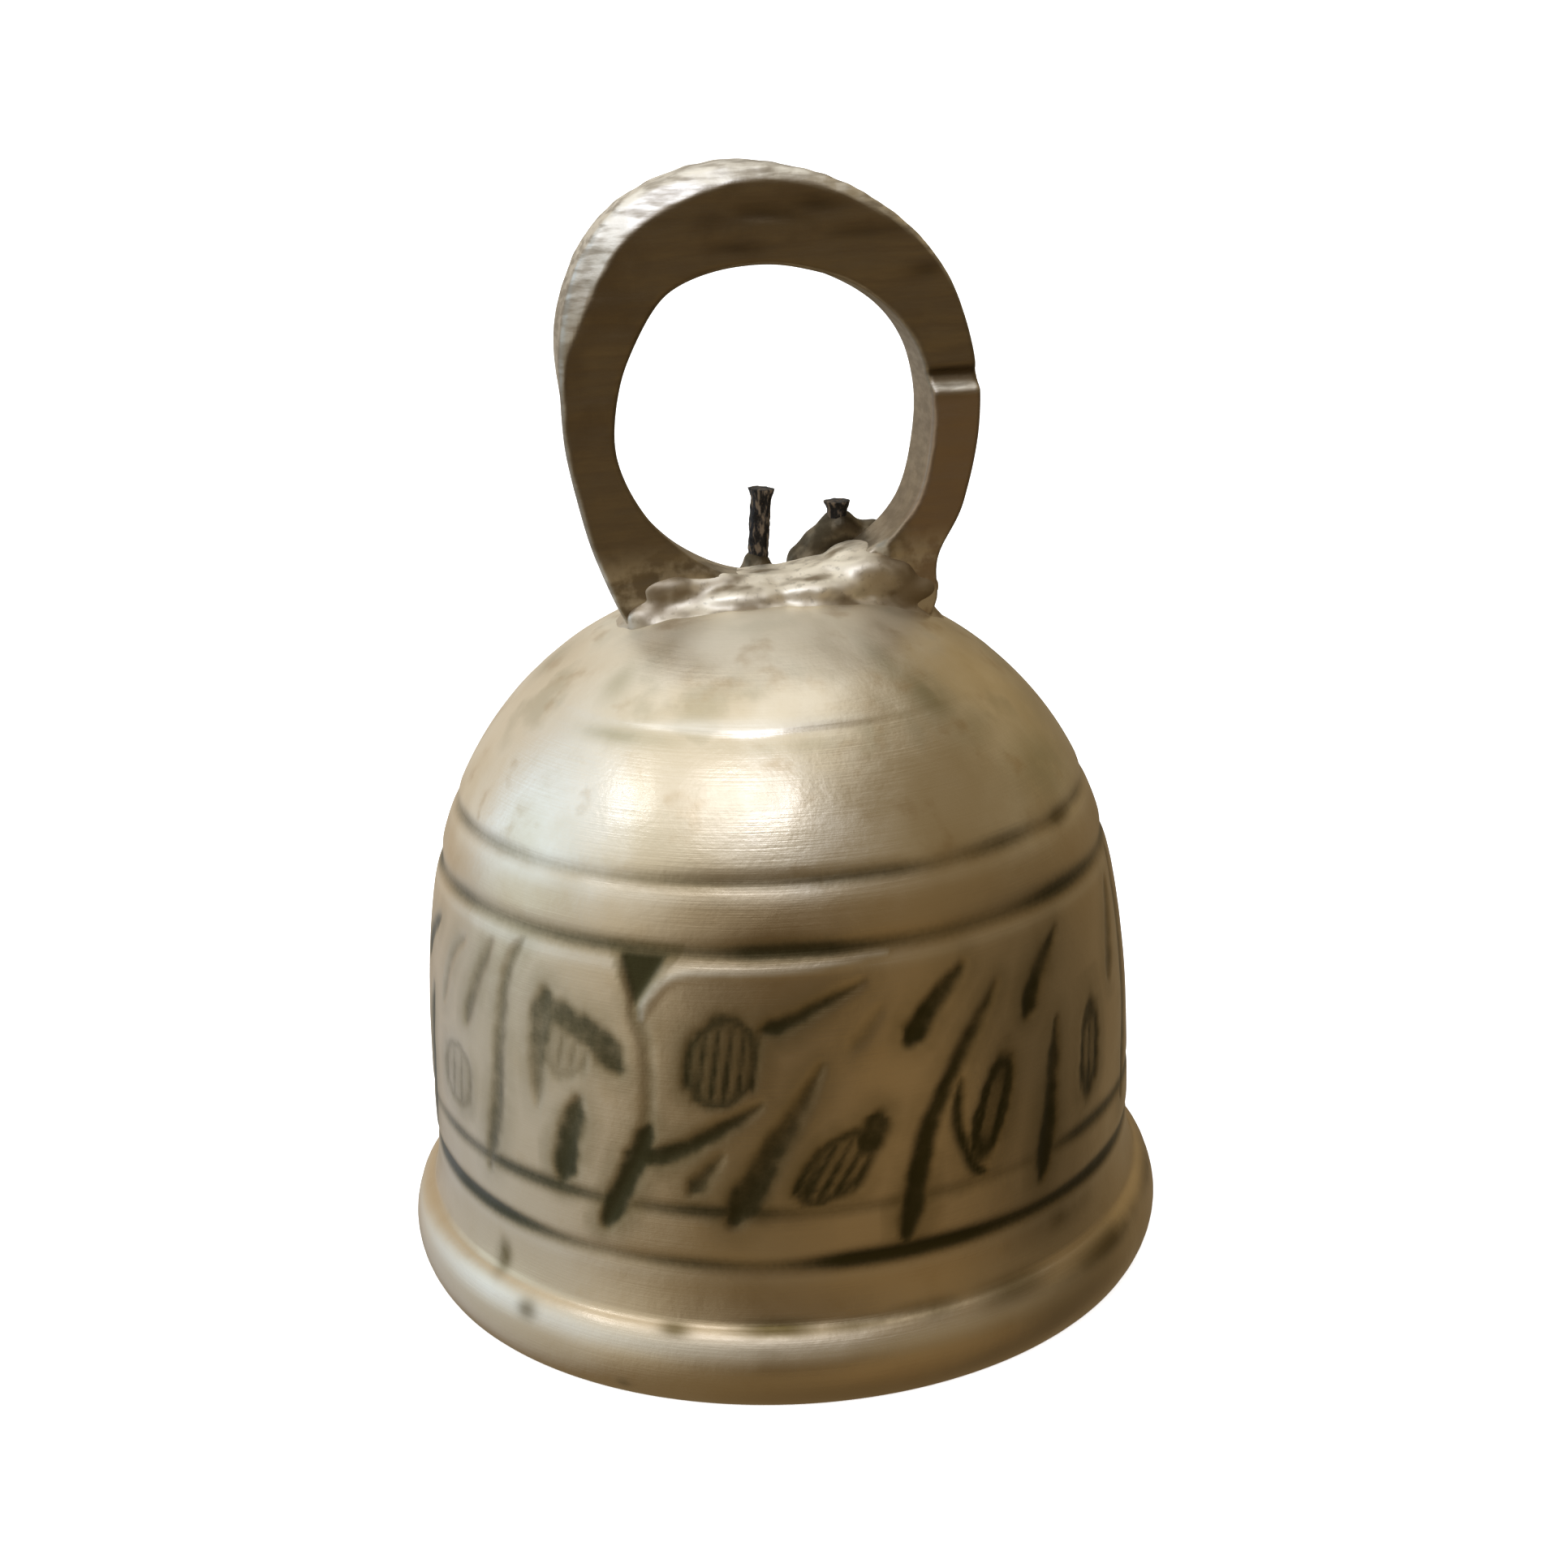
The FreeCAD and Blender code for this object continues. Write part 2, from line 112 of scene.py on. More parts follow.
# Each stroke: half width at its start and end, darkness, depth, and its places (turn, height).
STROKES = [
    (0.45, 0.80, 0.62, 0.14, [
        (-55, 32.2), (-57, 30.9), (-58.5, 28.7), (-59.5, 24.4), (-60.5, 18.9), (-63.5, 13.7)]),
    (0.55, 0.75, 0.55, 0.12, [(-63, 31.0), (-66.5, 27.5), (-69, 24.2)]),
    (0.45, 0.50, 0.45, 0.08, [(-71, 30.2), (-74, 29.1), (-76.5, 27.2), (-78.5, 24.4)]),
    (0.75, 1.00, 0.85, 0.16, [(-43.2, 21.6), (-45.2, 18.6), (-46.8, 15.3)]),
    (0.60, 0.45, 0.50, 0.10, [(-34, 29.3), (-33, 28.0), (-31.6, 26.0), (-31.7, 22.0), (-32.6, 19.5)]),
    (0.65, 0.80, 0.95, 0.16, [(-31.6, 20.6), (-33.2, 18.6), (-35.8, 16.0), (-39.4, 12.6)]),
    (0.80, 0.45, 0.92, 0.14, [(-35.0, 18.2), (-30, 18.5), (-26, 19.3), (-19, 21.4), (-15, 22.6)]),
    (0.75, 0.35, 0.75, 0.12, [(-25.6, 16.0), (-23.5, 17.3), (-20.8, 18.9)]),
    (1.25, 0.45, 0.86, 0.18, [(-19.6, 14.0), (-17, 16.2), (-13, 19.7), (-9.5, 22.3), (-6.2, 25.2)]),
    (0.70, 0.35, 0.88, 0.14, [(-14.4, 27.9), (-10, 28.5), (-5.5, 29.5), (0.8, 30.7)]),
    (0.60, 0.40, 0.42, 0.08, [(-1.6, 26.2), (1, 27.5), (3.2, 28.8)]),
    (0.85, 0.50, 0.95, 0.16, [(7.0, 26.2), (9, 27.3), (11.5, 28.6), (17.0, 30.6)]),
    (0.45, 0.85, 0.93, 0.16, [
        (22.5, 28.6), (16.5, 25.2), (12.5, 22.3), (9, 19.1), (6.8, 14.4), (5.6, 11.6)]),
    (0.85, 0.50, 0.88, 0.14, [(28.0, 25.6), (31, 28.1), (37.0, 30.6)]),
    (0.60, 0.85, 0.88, 0.14, [(34.6, 24.2), (32.4, 19.1), (32, 17.3), (29.8, 12.6)]),
    (0.95, 0.80, 0.80, 0.10, [(-0.4, 18.7), (1.2, 20.2), (2.0, 21.3)]),
    (0.40, 0.40, 0.90, 0.10, [(14.9, 22.4), (14.2, 19.3), (16.6, 15.9), (18.8, 14.9)]),
    (0.60, 0.35, 0.80, 0.10, [(-9.2, 15.6), (-7.8, 17.4), (-5.6, 19.7)]),
    (1.20, 0.45, 0.70, 0.12, [(-49.4, 28.8), (-50.4, 25.8), (-51.0, 23.2), (-51.0, 20.4)]),
    (1.15, 0.90, 0.74, 0.12, [(-36.4, 24.6), (-39.6, 26.4), (-44.0, 27.2), (-49.6, 28.2)]),
]
# Hatched leaves: turn, height, half width (degrees), half height, lean, hatch lines, darkness.
LEAVES = [
    (-73.0, 19.3, 6.0, 2.8, 0.2, 4, 0.55),
    (-45.2, 25.4, 4.6, 2.8, 0.4, 4, 0.50),
    (-20.6, 25.6, 5.8, 3.6, 0.3, 6, 0.85),
    (-4.6, 17.6, 5.4, 3.0, 1.2, 5, 0.85),
    (20.4, 19.7, 3.5, 4.2, 0.7, 2, 1.00),
    (43.5, 20.4, 3.4, 4.0, 0.3, 3, 0.85),
]
# A chiselled notch under the upper groove, and the raised edge of the panel beside it.
NOTCH = [(-37.0, 33.0), (-28.0, 33.0), (-33.8, 28.9)]
NOTCH_DEPTH = 0.22
NOTCH_TONE = 0.92
LEAF_DEPTH = 0.06
HATCH_DEPTH = 0.08
HATCH_WIDTHS = (0.24, 0.30)
PANEL_EDGE = [
    (-32.6, 28.4), (-32, 29.4), (-29.5, 30.9), (-26.5, 31.6), (-22, 31.8), (-8, 31.9), (5, 32.5),
]
PANEL_EDGE_HEIGHT = 0.13
PANEL_EDGE_WIDTH = 0.42
# The frieze goes on round the back with the same figures, at these turns.
REPEATS = (122.0, 240.0)
REPEAT_RANGE = (-70.0, 40.0)

# Dark stains on the wall, and painted shade on the lip's shoulder towards the right (at 43 and 68 degrees):
# turn, height, half sizes along and up (mm), darkness.
STAINS_AND_SHADE = [
    (-60.5, 7.0, 1.1, 1.5, 0.80), (-52.4, 4.6, 1.2, 0.9, 0.60), (-28.5, 5.6, 1.5, 0.5, 0.7),
    (-14.0, 5.9, 3.6, 0.7, 0.8), (-2.0, 5.8, 4.0, 0.5, 0.6), (8.0, 5.9, 3.6, 0.8, 0.6),
    (22.0, 5.6, 4.2, 1.1, 0.62), (35.0, 8.6, 4.0, 1.4, 0.6), (43.0, 4.9, 6.0, 1.0, 0.7),
    (47.0, 37.4, 3.6, 0.8, 0.7), (68.0, 4.8, 6.0, 1.0, 0.5), (-36.0, 1.2, 0.8, 0.6, 0.5),
    (95.0, 5.8, 4.5, 0.8, 0.8), (140.0, 5.7, 3.0, 0.6, 0.7), (205.0, 6.2, 4.0, 0.9, 0.75),
    (250.0, 8.0, 1.2, 1.2, 0.6), (170.0, 4.4, 1.0, 0.9, 0.6),
]
# Grey-green patches of patina on the crown, in the same form.
PATINA = [
    (-50.0, 50.2, 2.6, 1.0, 0.9), (-56.0, 48.4, 2.4, 1.2, 0.7), (-46.0, 45.6, 6.0, 0.5, 0.8),
    (-10.0, 45.4, 6.0, 0.4, 0.7), (26.0, 49.3, 2.6, 1.4, 0.9), (31.0, 46.9, 3.4, 1.8, 1.0),
    (36.0, 44.6, 3.5, 1.2, 0.6), (58.0, 51.0, 2.2, 0.6, 0.8), (52.0, 40.8, 6.0, 2.4, 0.8),
    (64.0, 43.0, 4.0, 2.0, 0.5), (120.0, 48.6, 4.0, 1.4, 0.9), (165.0, 47.0, 5.0, 1.6, 0.8),
    (215.0, 49.4, 3.5, 1.2, 0.9), (262.0, 47.6, 4.0, 1.4, 0.7), (85.0, 46.0, 3.0, 1.2, 0.7),
]


# ---- small geometry helpers -------------------------------------------------
def dome_radius(z, radius=BODY_RADIUS, height=CROWN_HEIGHT):
    """The bell curve's radius at height z."""
    rise = (z - BODY_BASE_Z) / height
    return radius * max(1 - rise ** CURVE_POWER_Z, 0) ** (1 / CURVE_POWER_R)


def dome_height(r):
    """The height of the crown's outside at radius r."""
    return BODY_BASE_Z + CROWN_HEIGHT * (1 - (r / BODY_RADIUS) ** CURVE_POWER_R) ** (1 / CURVE_POWER_Z)


CAP_RADIUS = dome_radius(CAP_START_Z)


def cap_height(r):
    """The height of the crown's flatter cap at radius r."""
    return CAP_TOP_Z - (CAP_TOP_Z - CAP_START_Z) * (r / CAP_RADIUS) ** CAP_POWER


def arc_points(start, middle, end, count):
    """Points on the arc through three (r, z) points, without the last one."""
    a, b, c = (complex(*point) for point in (start, middle, end))
    w = (c - a) / (b - a)
    centre = a + (b - a) * (w - abs(w) ** 2) / (w - w.conjugate())
    first = math.atan2((a - centre).imag, (a - centre).real)
    turn = math.atan2(((c - centre) / (a - centre)).imag, ((c - centre) / (a - centre)).real)
    radius = abs(a - centre)
    points = []
    for step in range(count):
        angle = first + turn * step / count
        points.append((centre.real + radius * math.cos(angle), centre.imag + radius * math.sin(angle)))
    return points


def smooth_path(points, steps, closed=False):
    """A Catmull-Rom curve through the points, as an array with steps samples per span."""
    given = np.array(points, float)
    if closed:
        padded = np.vstack([given[-1], given, given[:2]])
    else:
        padded = np.vstack([2 * given[0] - given[1], given, 2 * given[-1] - given[-2]])
    samples = []
    for i in range(len(padded) - 3):
        a, b, c, d = padded[i:i + 4]
        for step in range(steps):
            t = step / steps
            samples.append(0.5 * (2 * b + (c - a) * t + (2 * a - 5 * b + 4 * c - d) * t ** 2
                                  + (3 * b - a - 3 * c + d) * t ** 3))
    if not closed:
        samples.append(given[-1])
    return np.array(samples)


def smoothstep(value, low, high):
    """0 below low, 1 above high and smooth in between; low may be the larger one."""
    share = np.clip((np.asarray(value, float) - low) / (high - low), 0, 1)
    return share * share * (3 - 2 * share)


def hump(value, width):
    """1 at zero, falling off smoothly on both sides over the width."""
    return np.exp(-(value / width) ** 2)


def noise_field(points, size, offset=0.0):
    """Smooth noise from -1 to 1 at each point, with lumps about size across."""
    places = np.asarray(points, float) / size + offset
    return np.array([noise.noise(place) for place in places.tolist()])


def make_piece(name, points, faces, masks=None):
    """A mesh object from millimetre points, with a float attribute for each mask."""
    mesh = bpy.data.meshes.new(name)
    mesh.from_pydata((np.asarray(points) * MM).tolist(), [], faces)
    for mask, values in (masks or {}).items():
        attribute = mesh.attributes.new(mask, "FLOAT", "POINT")
        attribute.data.foreach_set("value", np.asarray(values, np.float32))
    mesh.polygons.foreach_set("use_smooth", [True] * len(mesh.polygons))
    mesh.update()
    return add_object(name, mesh)


def add_object(name, data):
    """A new object in the scene."""
    made = bpy.data.objects.new(name, data)
    bpy.context.scene.collection.objects.link(made)
    return made


def grid_faces(rows, columns, first=0, flip=False, closed=False):
    """Quads of a grid that closes on itself along its rows, and from its last row if closed."""
    faces = []
    for i in range(rows if closed else rows - 1):
        for j in range(columns):
            k = (j + 1) % columns
            low, high = first + i * columns, first + (i + 1) % rows * columns
            face = (low + j, low + k, high + k, high + j)
            faces.append(face[::-1] if flip else face)
    return faces


def fan_faces(pole, first, columns, flip=False):
    """Triangles from a ring of points to a pole."""
    faces = [(first + j, first + (j + 1) % columns, pole) for j in range(columns)]
    return [face[::-1] for face in faces] if flip else faces


def along_wall(turn, place):
    """Millimetres round the bell's wall from one turn to others, the short way."""
    return ((turn - place + 180) % 360 - 180) * MM_PER_DEGREE


# ---- engraved shell ---------------------------------------------------------
def outer_profile():
    """(radius, height) points of the outside from the standing edge to the top of the crown."""
    neck = (dome_radius(NECK_Z), NECK_Z)
    crease = (CREASE_RADIUS, CREASE_Z)
    shoulder = (LIP_SHOULDER_RADIUS, LIP_BAND_TOP)
    foot = (LIP_FOOT_RADIUS + 0.1, EDGE_ROUNDING)
    points = [(LIP_FOOT_RADIUS - EDGE_ROUNDING, 0), (LIP_FOOT_RADIUS - 0.07, 0.07)]
    points += arc_points(foot, (LIP_RADIUS, LIP_BAND_TOP / 2), shoulder, 9)
    points += arc_points(shoulder, (29.28, 5.2), crease, 6)
    points += arc_points(crease, (28.0, 7.4), neck, 7)
    for z in np.linspace(NECK_Z, FRIEZE_LOW, 8, endpoint=False):
        points.append((dome_radius(z), z))
    rows = round((FRIEZE_HIGH - FRIEZE_LOW) / FRIEZE_PITCH)
    for z in np.linspace(FRIEZE_LOW, FRIEZE_HIGH, rows, endpoint=False):
        points.append((dome_radius(z), z))
    points += crown_rows()
    points += [(r, cap_height(r)) for r in np.linspace(CAP_RADIUS, 0.5, 7)]
    return np.array(points)


def crown_rows():
    """(radius, height) points over the crown, closer together at its turned line."""
    path = np.linspace(dome_radius(FRIEZE_HIGH), CAP_RADIUS, 400)
    heights = dome_height(path)
    steps = np.hypot(np.diff(path), np.diff(heights))
    steps *= 1 + 2.5 * hump(heights[1:] - CROWN_LINE_Z, 0.8)
    run = np.append(0, np.cumsum(steps))
    radii = np.interp(np.linspace(0, run[-1], CROWN_ROWS, endpoint=False), run, path)
    return [(r, dome_height(r)) for r in radii]


def inner_profile():
    """(radius, height) points of the inside from the standing edge to the roof."""
    mouth = LIP_FOOT_RADIUS - LIP_WALL
    neck = dome_radius(NECK_Z, INNER_RADIUS, INNER_HEIGHT)
    roof = dome_radius(ROOF_Z, INNER_RADIUS, INNER_HEIGHT)
    points = [(mouth + EDGE_ROUNDING, 0), (mouth + 0.05, 0.1), (mouth - 0.1, 0.4)]
    points += [(mouth + (neck - mouth) * share, INNER_FLARE_Z * share) for share in (0.4, 0.7, 1.0)]
    for z in (4.5, 6.0, 7.6):
        points.append((neck, z))
    for z in np.linspace(NECK_Z, ROOF_Z, 22):
        points.append((dome_radius(z, INNER_RADIUS, INNER_HEIGHT), z))
    points += [(roof * share, ROOF_Z + 0.1) for share in (0.7, 0.3)]
    return np.array(points)


class Relief:
    """The engraving over the wall: how far it is cut in, and where its dark filling lies."""

    def __init__(self, turn, height):
        self.turn, self.height = turn, height
        self.cut = np.zeros_like(turn)
        self.filling = np.zeros_like(turn)
        self.smudge = np.zeros_like(turn)
        self.unevenness = noise_field(to_xyz(turn, BODY_RADIUS, height), 0.9, 6.1)

    def dig(self, near, depth):
        """Cut in this deep near a figure, where it isn't deeper already."""
        self.cut[near] = np.maximum(self.cut[near], depth)

    def fill(self, near, depth, tone):
        """Lay dark filling where depth, the way in from the figure's edge in millimetres, allows."""
        dark = tone * smoothstep(depth, -EDGE_BAND / 2, EDGE_BAND / 2)
        self.filling[near] = np.maximum(self.filling[near], dark)
        haze = tone * smoothstep(depth, -SMUDGE_BAND, 0)
        self.smudge[near] = np.maximum(self.smudge[near], haze)

    def stroke(self, start_width, end_width, tone, depth, places):
        """One tapering cut along a smooth path, pointed at both ends."""
        origin = places[0][0]
        path = smooth_path([((turn - origin) * MM_PER_DEGREE, z) for turn, z in places], 6)
        u, v = along_wall(self.turn, origin), self.height
        reach = BOLDNESS * max(start_width, end_width) + 1.0
        low, high = path.min(0) - reach, path.max(0) + reach
        near = np.nonzero((u > low[0]) & (u < high[0]) & (v > low[1]) & (v < high[1]))[0]
        if not len(near):
            return
        spots = np.column_stack([u[near], v[near]])
        best = np.full(len(near), 1e9)
        along = np.zeros(len(near))
        for i in range(len(path) - 1):
            a, b = path[i], path[i + 1]
            share = np.clip((spots - a) @ (b - a) / ((b - a) @ (b - a)), 0, 1)
            gap = np.linalg.norm(spots - a - share[:, None] * (b - a), axis=1)
            closer = gap < best
            best = np.where(closer, gap, best)
            along = np.where(closer, (i + share) / (len(path) - 1), along)
        width = start_width + (end_width - start_width) * along
        half = BOLDNESS * width
        half *= smoothstep(np.minimum(along, 1 - along), -STROKE_TIP, STROKE_TIP)
        half *= 1 + 0.10 * self.unevenness[near]
        self.dig(near, depth * smoothstep(best, half * 1.4, 0))
        thin = 1 - width / max(start_width, end_width)
        self.fill(near, half - best, tone * (1 - THIN_FADE * thin + 0.12 * self.unevenness[near]))

    def leaf(self, turn, z, half_width, half_height, lean, lines, tone):
        """A lens-shaped leaf: a thin filling, darker at its rim, crossed by hatch lines."""
        width = half_width * MM_PER_DEGREE
        v = self.height - z
        u = along_wall(self.turn, turn) - lean * v * MM_PER_DEGREE
        near = np.nonzero((np.abs(u) < 2 * width) & (np.abs(v) < 1.5 * half_height))[0]
        depth = (1 - np.hypot(u[near] / width, v[near] / half_height)) * width
        depth += 0.25 * self.unevenness[near]
        rim = hump(depth - 0.3, 0.45)
        self.dig(near, LEAF_DEPTH * smoothstep(depth, -0.2, 0.5))
        self.fill(near, depth, tone * (0.52 + 0.42 * rim))
        for line in range(lines):
            share = (line + 0.5) / lines * 2 - 1
            reach = 0.8 * half_height * math.sqrt(1 - 0.75 * share ** 2)
            centre = turn + share * half_width
            self.stroke(*HATCH_WIDTHS, 1.15 * tone, HATCH_DEPTH, [
                (centre + lean * reach, z + reach), (centre, z), (centre - lean * reach, z - reach)])

    def notch(self, corners):
        """A flat triangular cut, dark inside."""
        origin = corners[0][0]
        points = np.array([((turn - origin) * MM_PER_DEGREE, z) for turn, z in corners])
        spots = np.column_stack([along_wall(self.turn, origin), self.height])
        inside = np.full(len(spots), 1e9)
        for i in range(3):
            a, b = points[i], points[(i + 1) % 3]
            along = (b - a) / np.linalg.norm(b - a)
            side = (spots - a) @ np.array([along[1], -along[0]])
            inside = np.minimum(inside, side)
        near = np.nonzero(inside > -0.6)[0]
        depth = inside[near]
        self.dig(near, NOTCH_DEPTH * smoothstep(depth, -0.3, 0.5))
        self.fill(near, depth, NOTCH_TONE)

    def groove(self, z, depth, half, tone, bevel):
        """A turned line with a gently bevelled lower edge; it wavers a little."""
        angle = np.radians(self.turn)
        ring = np.column_stack([np.cos(angle) * 3, np.sin(angle) * 3, np.full_like(angle, z)])
        waver = noise_field(ring, 1.0)
        away = self.height - z - 0.16 * waver
        near = np.nonzero(np.abs(away) < 3)[0]
        away, waver = away[near], waver[near]
        cut = depth * (1 + 0.3 * waver) * hump(away, half)
        cut += bevel * np.where(away < 0, hump(away, 1.3), hump(away, half))
        self.dig(near, cut)
        soft = hump(away, GROOVE_SPREAD * half * (1 + 0.3 * waver))
        patchy = np.clip(0.9 + 0.7 * waver, 0.55, 1.1)
        self.filling[near] = np.maximum(self.filling[near], tone * patchy * soft)


def engrave(turn, height):
    """The whole relief of the outside: grooves, figures and their repeats round the back."""
    relief = Relief(turn, height)
    for groove in GROOVES:
        relief.groove(*groove)
    low, high = REPEAT_RANGE
    for shift in (0.0,) + REPEATS:
        for start, end, tone, depth, places in STROKES:
            if shift == 0 or low < places[0][0] < high:
                moved = [(spot + shift, z + 0.004 * shift * math.sin(spot)) for spot, z in places]
                relief.stroke(start, end, tone, depth, moved)
        for leaf in LEAVES:
            if shift == 0 or low < leaf[0] < high:
                relief.leaf(leaf[0] + shift, *leaf[1:])
        relief.notch([(corner + shift, z) for corner, z in NOTCH])
    return relief


def panel_ridge(turn, height):
    """The raised edge of the panels, 0 to 1."""
    ridge = np.zeros_like(turn)
    for shift in (0.0,) + REPEATS:
        lone = Relief(turn, height)
        moved = [(place + shift, z) for place, z in PANEL_EDGE]
        lone.stroke(PANEL_EDGE_WIDTH, PANEL_EDGE_WIDTH * 0.7, 1, 1, moved)
        ridge = np.maximum(ridge, lone.cut)
    return ridge


def spot_mask(spots, turn, height):
    """Soft spots over the wall, 0 to 1."""
    mask = np.zeros_like(turn)
    for place, z, along, up, tone in spots:
        u = along_wall(turn, place)
        mask = np.maximum(mask, tone * np.exp(-(u / along) ** 2 - ((height - z) / up) ** 2))
    return mask


def ring_points(profile, columns):
    """Points of a surface of revolution, row by row, with each point's turn in degrees."""
    turn = np.linspace(0, 360, columns, endpoint=False)
    turns = np.tile(turn, len(profile))
    radius = np.repeat(profile[:, 0], columns)
    height = np.repeat(profile[:, 1], columns)
    return turns, radius, height


def to_xyz(turn, radius, height):
    """Points from turn, radius and height."""
    angle = np.radians(turn)
    return np.column_stack([radius * np.sin(angle), -radius * np.cos(angle), height])


def make_shell():
    """The bell: an engraved, slightly uneven outside and a plainer inside, in one closed mesh."""
    outer, inner = outer_profile(), inner_profile()
    turn, radius, height = ring_points(outer, COLUMNS)
    slope = np.gradient(outer, axis=0)
    length = np.linalg.norm(slope, axis=1)
    out_r = np.repeat(slope[:, 1] / length, COLUMNS)
    out_z = np.repeat(-slope[:, 0] / length, COLUMNS)

    relief = engrave(turn, height)
    ridge = panel_ridge(turn, height)
    points = to_xyz(turn, radius, height)
    wobble = WALL_WAVES * noise_field(points, 14.0) + WALL_RIPPLES * noise_field(points, 4.0, 7.3)
    wobble *= smoothstep(height, 0, 4)
    above_line = height + 0.35 * noise_field(points, 9.0, 3.1) - CROWN_LINE_Z
    crown_step = CROWN_LINE_RISE * smoothstep(above_line, -CROWN_LINE_HALF, CROWN_LINE_HALF)
    crown_step *= 0.2 + 0.8 * smoothstep(np.cos(np.radians(turn - CROWN_LINE_TURN)), 0.80, 0.97)
    lift = wobble - relief.cut + PANEL_EDGE_HEIGHT * ridge * (1 - relief.filling) + crown_step
    outside = to_xyz(turn, radius + lift * out_r, height + lift * out_z)

    inner_turn, inner_radius, inner_height = ring_points(inner, INNER_COLUMNS)
    inside = to_xyz(inner_turn, inner_radius, inner_height)
    dents = INNER_DENTS * noise_field(inside, 6.0, 5.5) * smoothstep(inner_height, 0, 3)
    inside = to_xyz(inner_turn, inner_radius + dents, inner_height)

    points = np.vstack([outside, inside, [(0, 0, CAP_TOP_Z)], [(0, 0, ROOF_Z + 0.1)]])
    start = len(outside)
    crown_pole, roof_pole = len(points) - 2, len(points) - 1
    faces = grid_faces(len(outer), COLUMNS)
    faces += grid_faces(len(inner), INNER_COLUMNS, start, flip=True)
    faces += fan_faces(crown_pole, start - COLUMNS, COLUMNS)
    faces += fan_faces(roof_pole, crown_pole - INNER_COLUMNS, INNER_COLUMNS, flip=True)
    ratio = COLUMNS // INNER_COLUMNS
    for j in range(INNER_COLUMNS):
        here, there = start + j, start + (j + 1) % INNER_COLUMNS
        rim = [(ratio * j + k) % COLUMNS for k in range(ratio + 1)]
        half = ratio // 2
        faces += [(rim[k + 1], rim[k], here) for k in range(half)]
        faces.append((rim[half], here, there))
        faces += [(rim[k + 1], rim[k], there) for k in range(half, ratio)]

    spare = len(points) - start
    masks = {
        "filling": np.clip(relief.filling, 0, 1),
        "stain_and_shade": spot_mask(STAINS_AND_SHADE, turn, height),
        "smudge": relief.smudge,
        "patina": spot_mask(PATINA, turn, height),
        "wear_and_highlight": wear_and_highlight_mask(turn, height, ridge),
    }
    masks = {name: np.append(mask, np.zeros(spare)) for name, mask in masks.items()}
    masks["inside"] = np.append(np.zeros(start), np.ones(spare))
    return make_piece("engraved_shell", points, faces, masks)


def wear_and_highlight_mask(turn, height, ridge):
    """Where the brass is rubbed bright, with painted highlights: the lip's shoulder, most towards the
    window, the grooves' lower bevels, the crown's turned line and the panels' raised edges.
    """
    # the painted highlight on the lip's shoulder is strongest on the side towards the window
    towards_window = smoothstep(np.cos(np.radians(turn + 35)), 0.15, 0.9)
    wear_and_highlight = 0.9 * hump(height - LIP_RUBBED_AND_LIT_Z, 0.75) * (0.08 + 0.92 * towards_window)
    # painted highlights on the grooves' lower bevels, which face up to the light
    for z, _, half, _, bevel in GROOVES:
        wear_and_highlight = np.maximum(wear_and_highlight, 5 * bevel * hump(height - z + half + 0.5, 0.45))
    # a painted highlight on the crown's turned line, on the side facing the key lamp
    line = hump(height - CROWN_LINE_Z - CROWN_LINE_HALF, 0.35)
    line *= smoothstep(np.cos(np.radians(turn + 14)), 0.86, 0.98)
    return np.maximum(np.maximum(wear_and_highlight, 0.9 * line), 0.8 * ridge)


# ---- finger loop ------------------------------------------------------------
LOOP_FRONT = -2.4
LOOP_BACK = 2.6
PAD_FRONT = -3.1            # the pad: the thicker front of the lower right limb
PAD_TOP = 67.2
PAD_SLOPE = 0.8
PAD_LEFT = 9.0
PAD_UNDERCUT = 0.32         # a crevice over the pad's top
LOOP_OUTER = [
    (-10.6, 50.6), (-13.2, 57.3), (-14.6, 66.0), (-13.5, 75.3), (-8.6, 81.3), (-0.5, 83.5),
    (8.2, 81.0), (14.3, 75.1), (16.6, 66.5), (15.2, 58.4), (13.1, 54.0), (12.9, 50.6),
]
LOOP_FOOT = [(11.0, 49.2), (1.0, 48.8), (-9.0, 49.2)]     # closes the outline under the crown
LOOP_HOLE = [
    (0.6, 76.3), (-6.1, 74.8), (-9.6, 69.9), (-10.8, 64.2), (-9.1, 59.3), (-5.4, 55.3),
    (-0.6, 53.4), (6.0, 54.1), (11.0, 57.9), (12.7, 64.0), (11.9, 69.9), (7.8, 74.2),
]
LOOP_CENTRE = (1.0, 64.6)
LOOP_COLUMNS = 420
# The bevel filed along the outer front edge: direction in degrees, width.
BEVEL_WIDTHS = [
    (0, 0.15), (30, 0.2), (48, 0.45), (64, 0.9), (88, 1.25), (112, 1.75), (134, 1.9), (148, 1.35),
    (158, 0.55), (168, 0.15), (345, 0.12),
]
BEVEL_SLOPE = 0.75
LOOP_TAPER = 1.0            # the lower left limb is this much narrower behind
LOOP_CORNER = 0.45
LOOP_FACE_STEPS = 24
LOOP_WALL_STEPS = 12
CORNER_STEPS = 4
FILE_MARKS = 0.015          # depths of the fine file marks and of the coarse unevenness
COARSE_MARKS = 0.10
HEWN = 0.10                 # how roughly the bright bevel is cut
CAST_SKIN = 0.12            # how lumpy the loop's casting is
# Pits and hollows in the loop's front face, darkened with dirt and painted shade: x, z, half sizes, depth.
LOOP_PITS = [
    (1.2, 79.6, 2.6, 0.9, 0.24), (4.6, 80.4, 2.2, 0.7, 0.20), (8.4, 78.4, 2.6, 0.6, 0.12),
    (-4.4, 79.4, 3.2, 0.6, 0.12), (-0.6, 77.6, 2.4, 0.5, 0.08), (-7.8, 54.6, 2.4, 0.7, 0.14),
    (-9.4, 52.2, 1.8, 0.8, 0.16), (12.6, 75.4, 1.6, 0.5, 0.08),
]


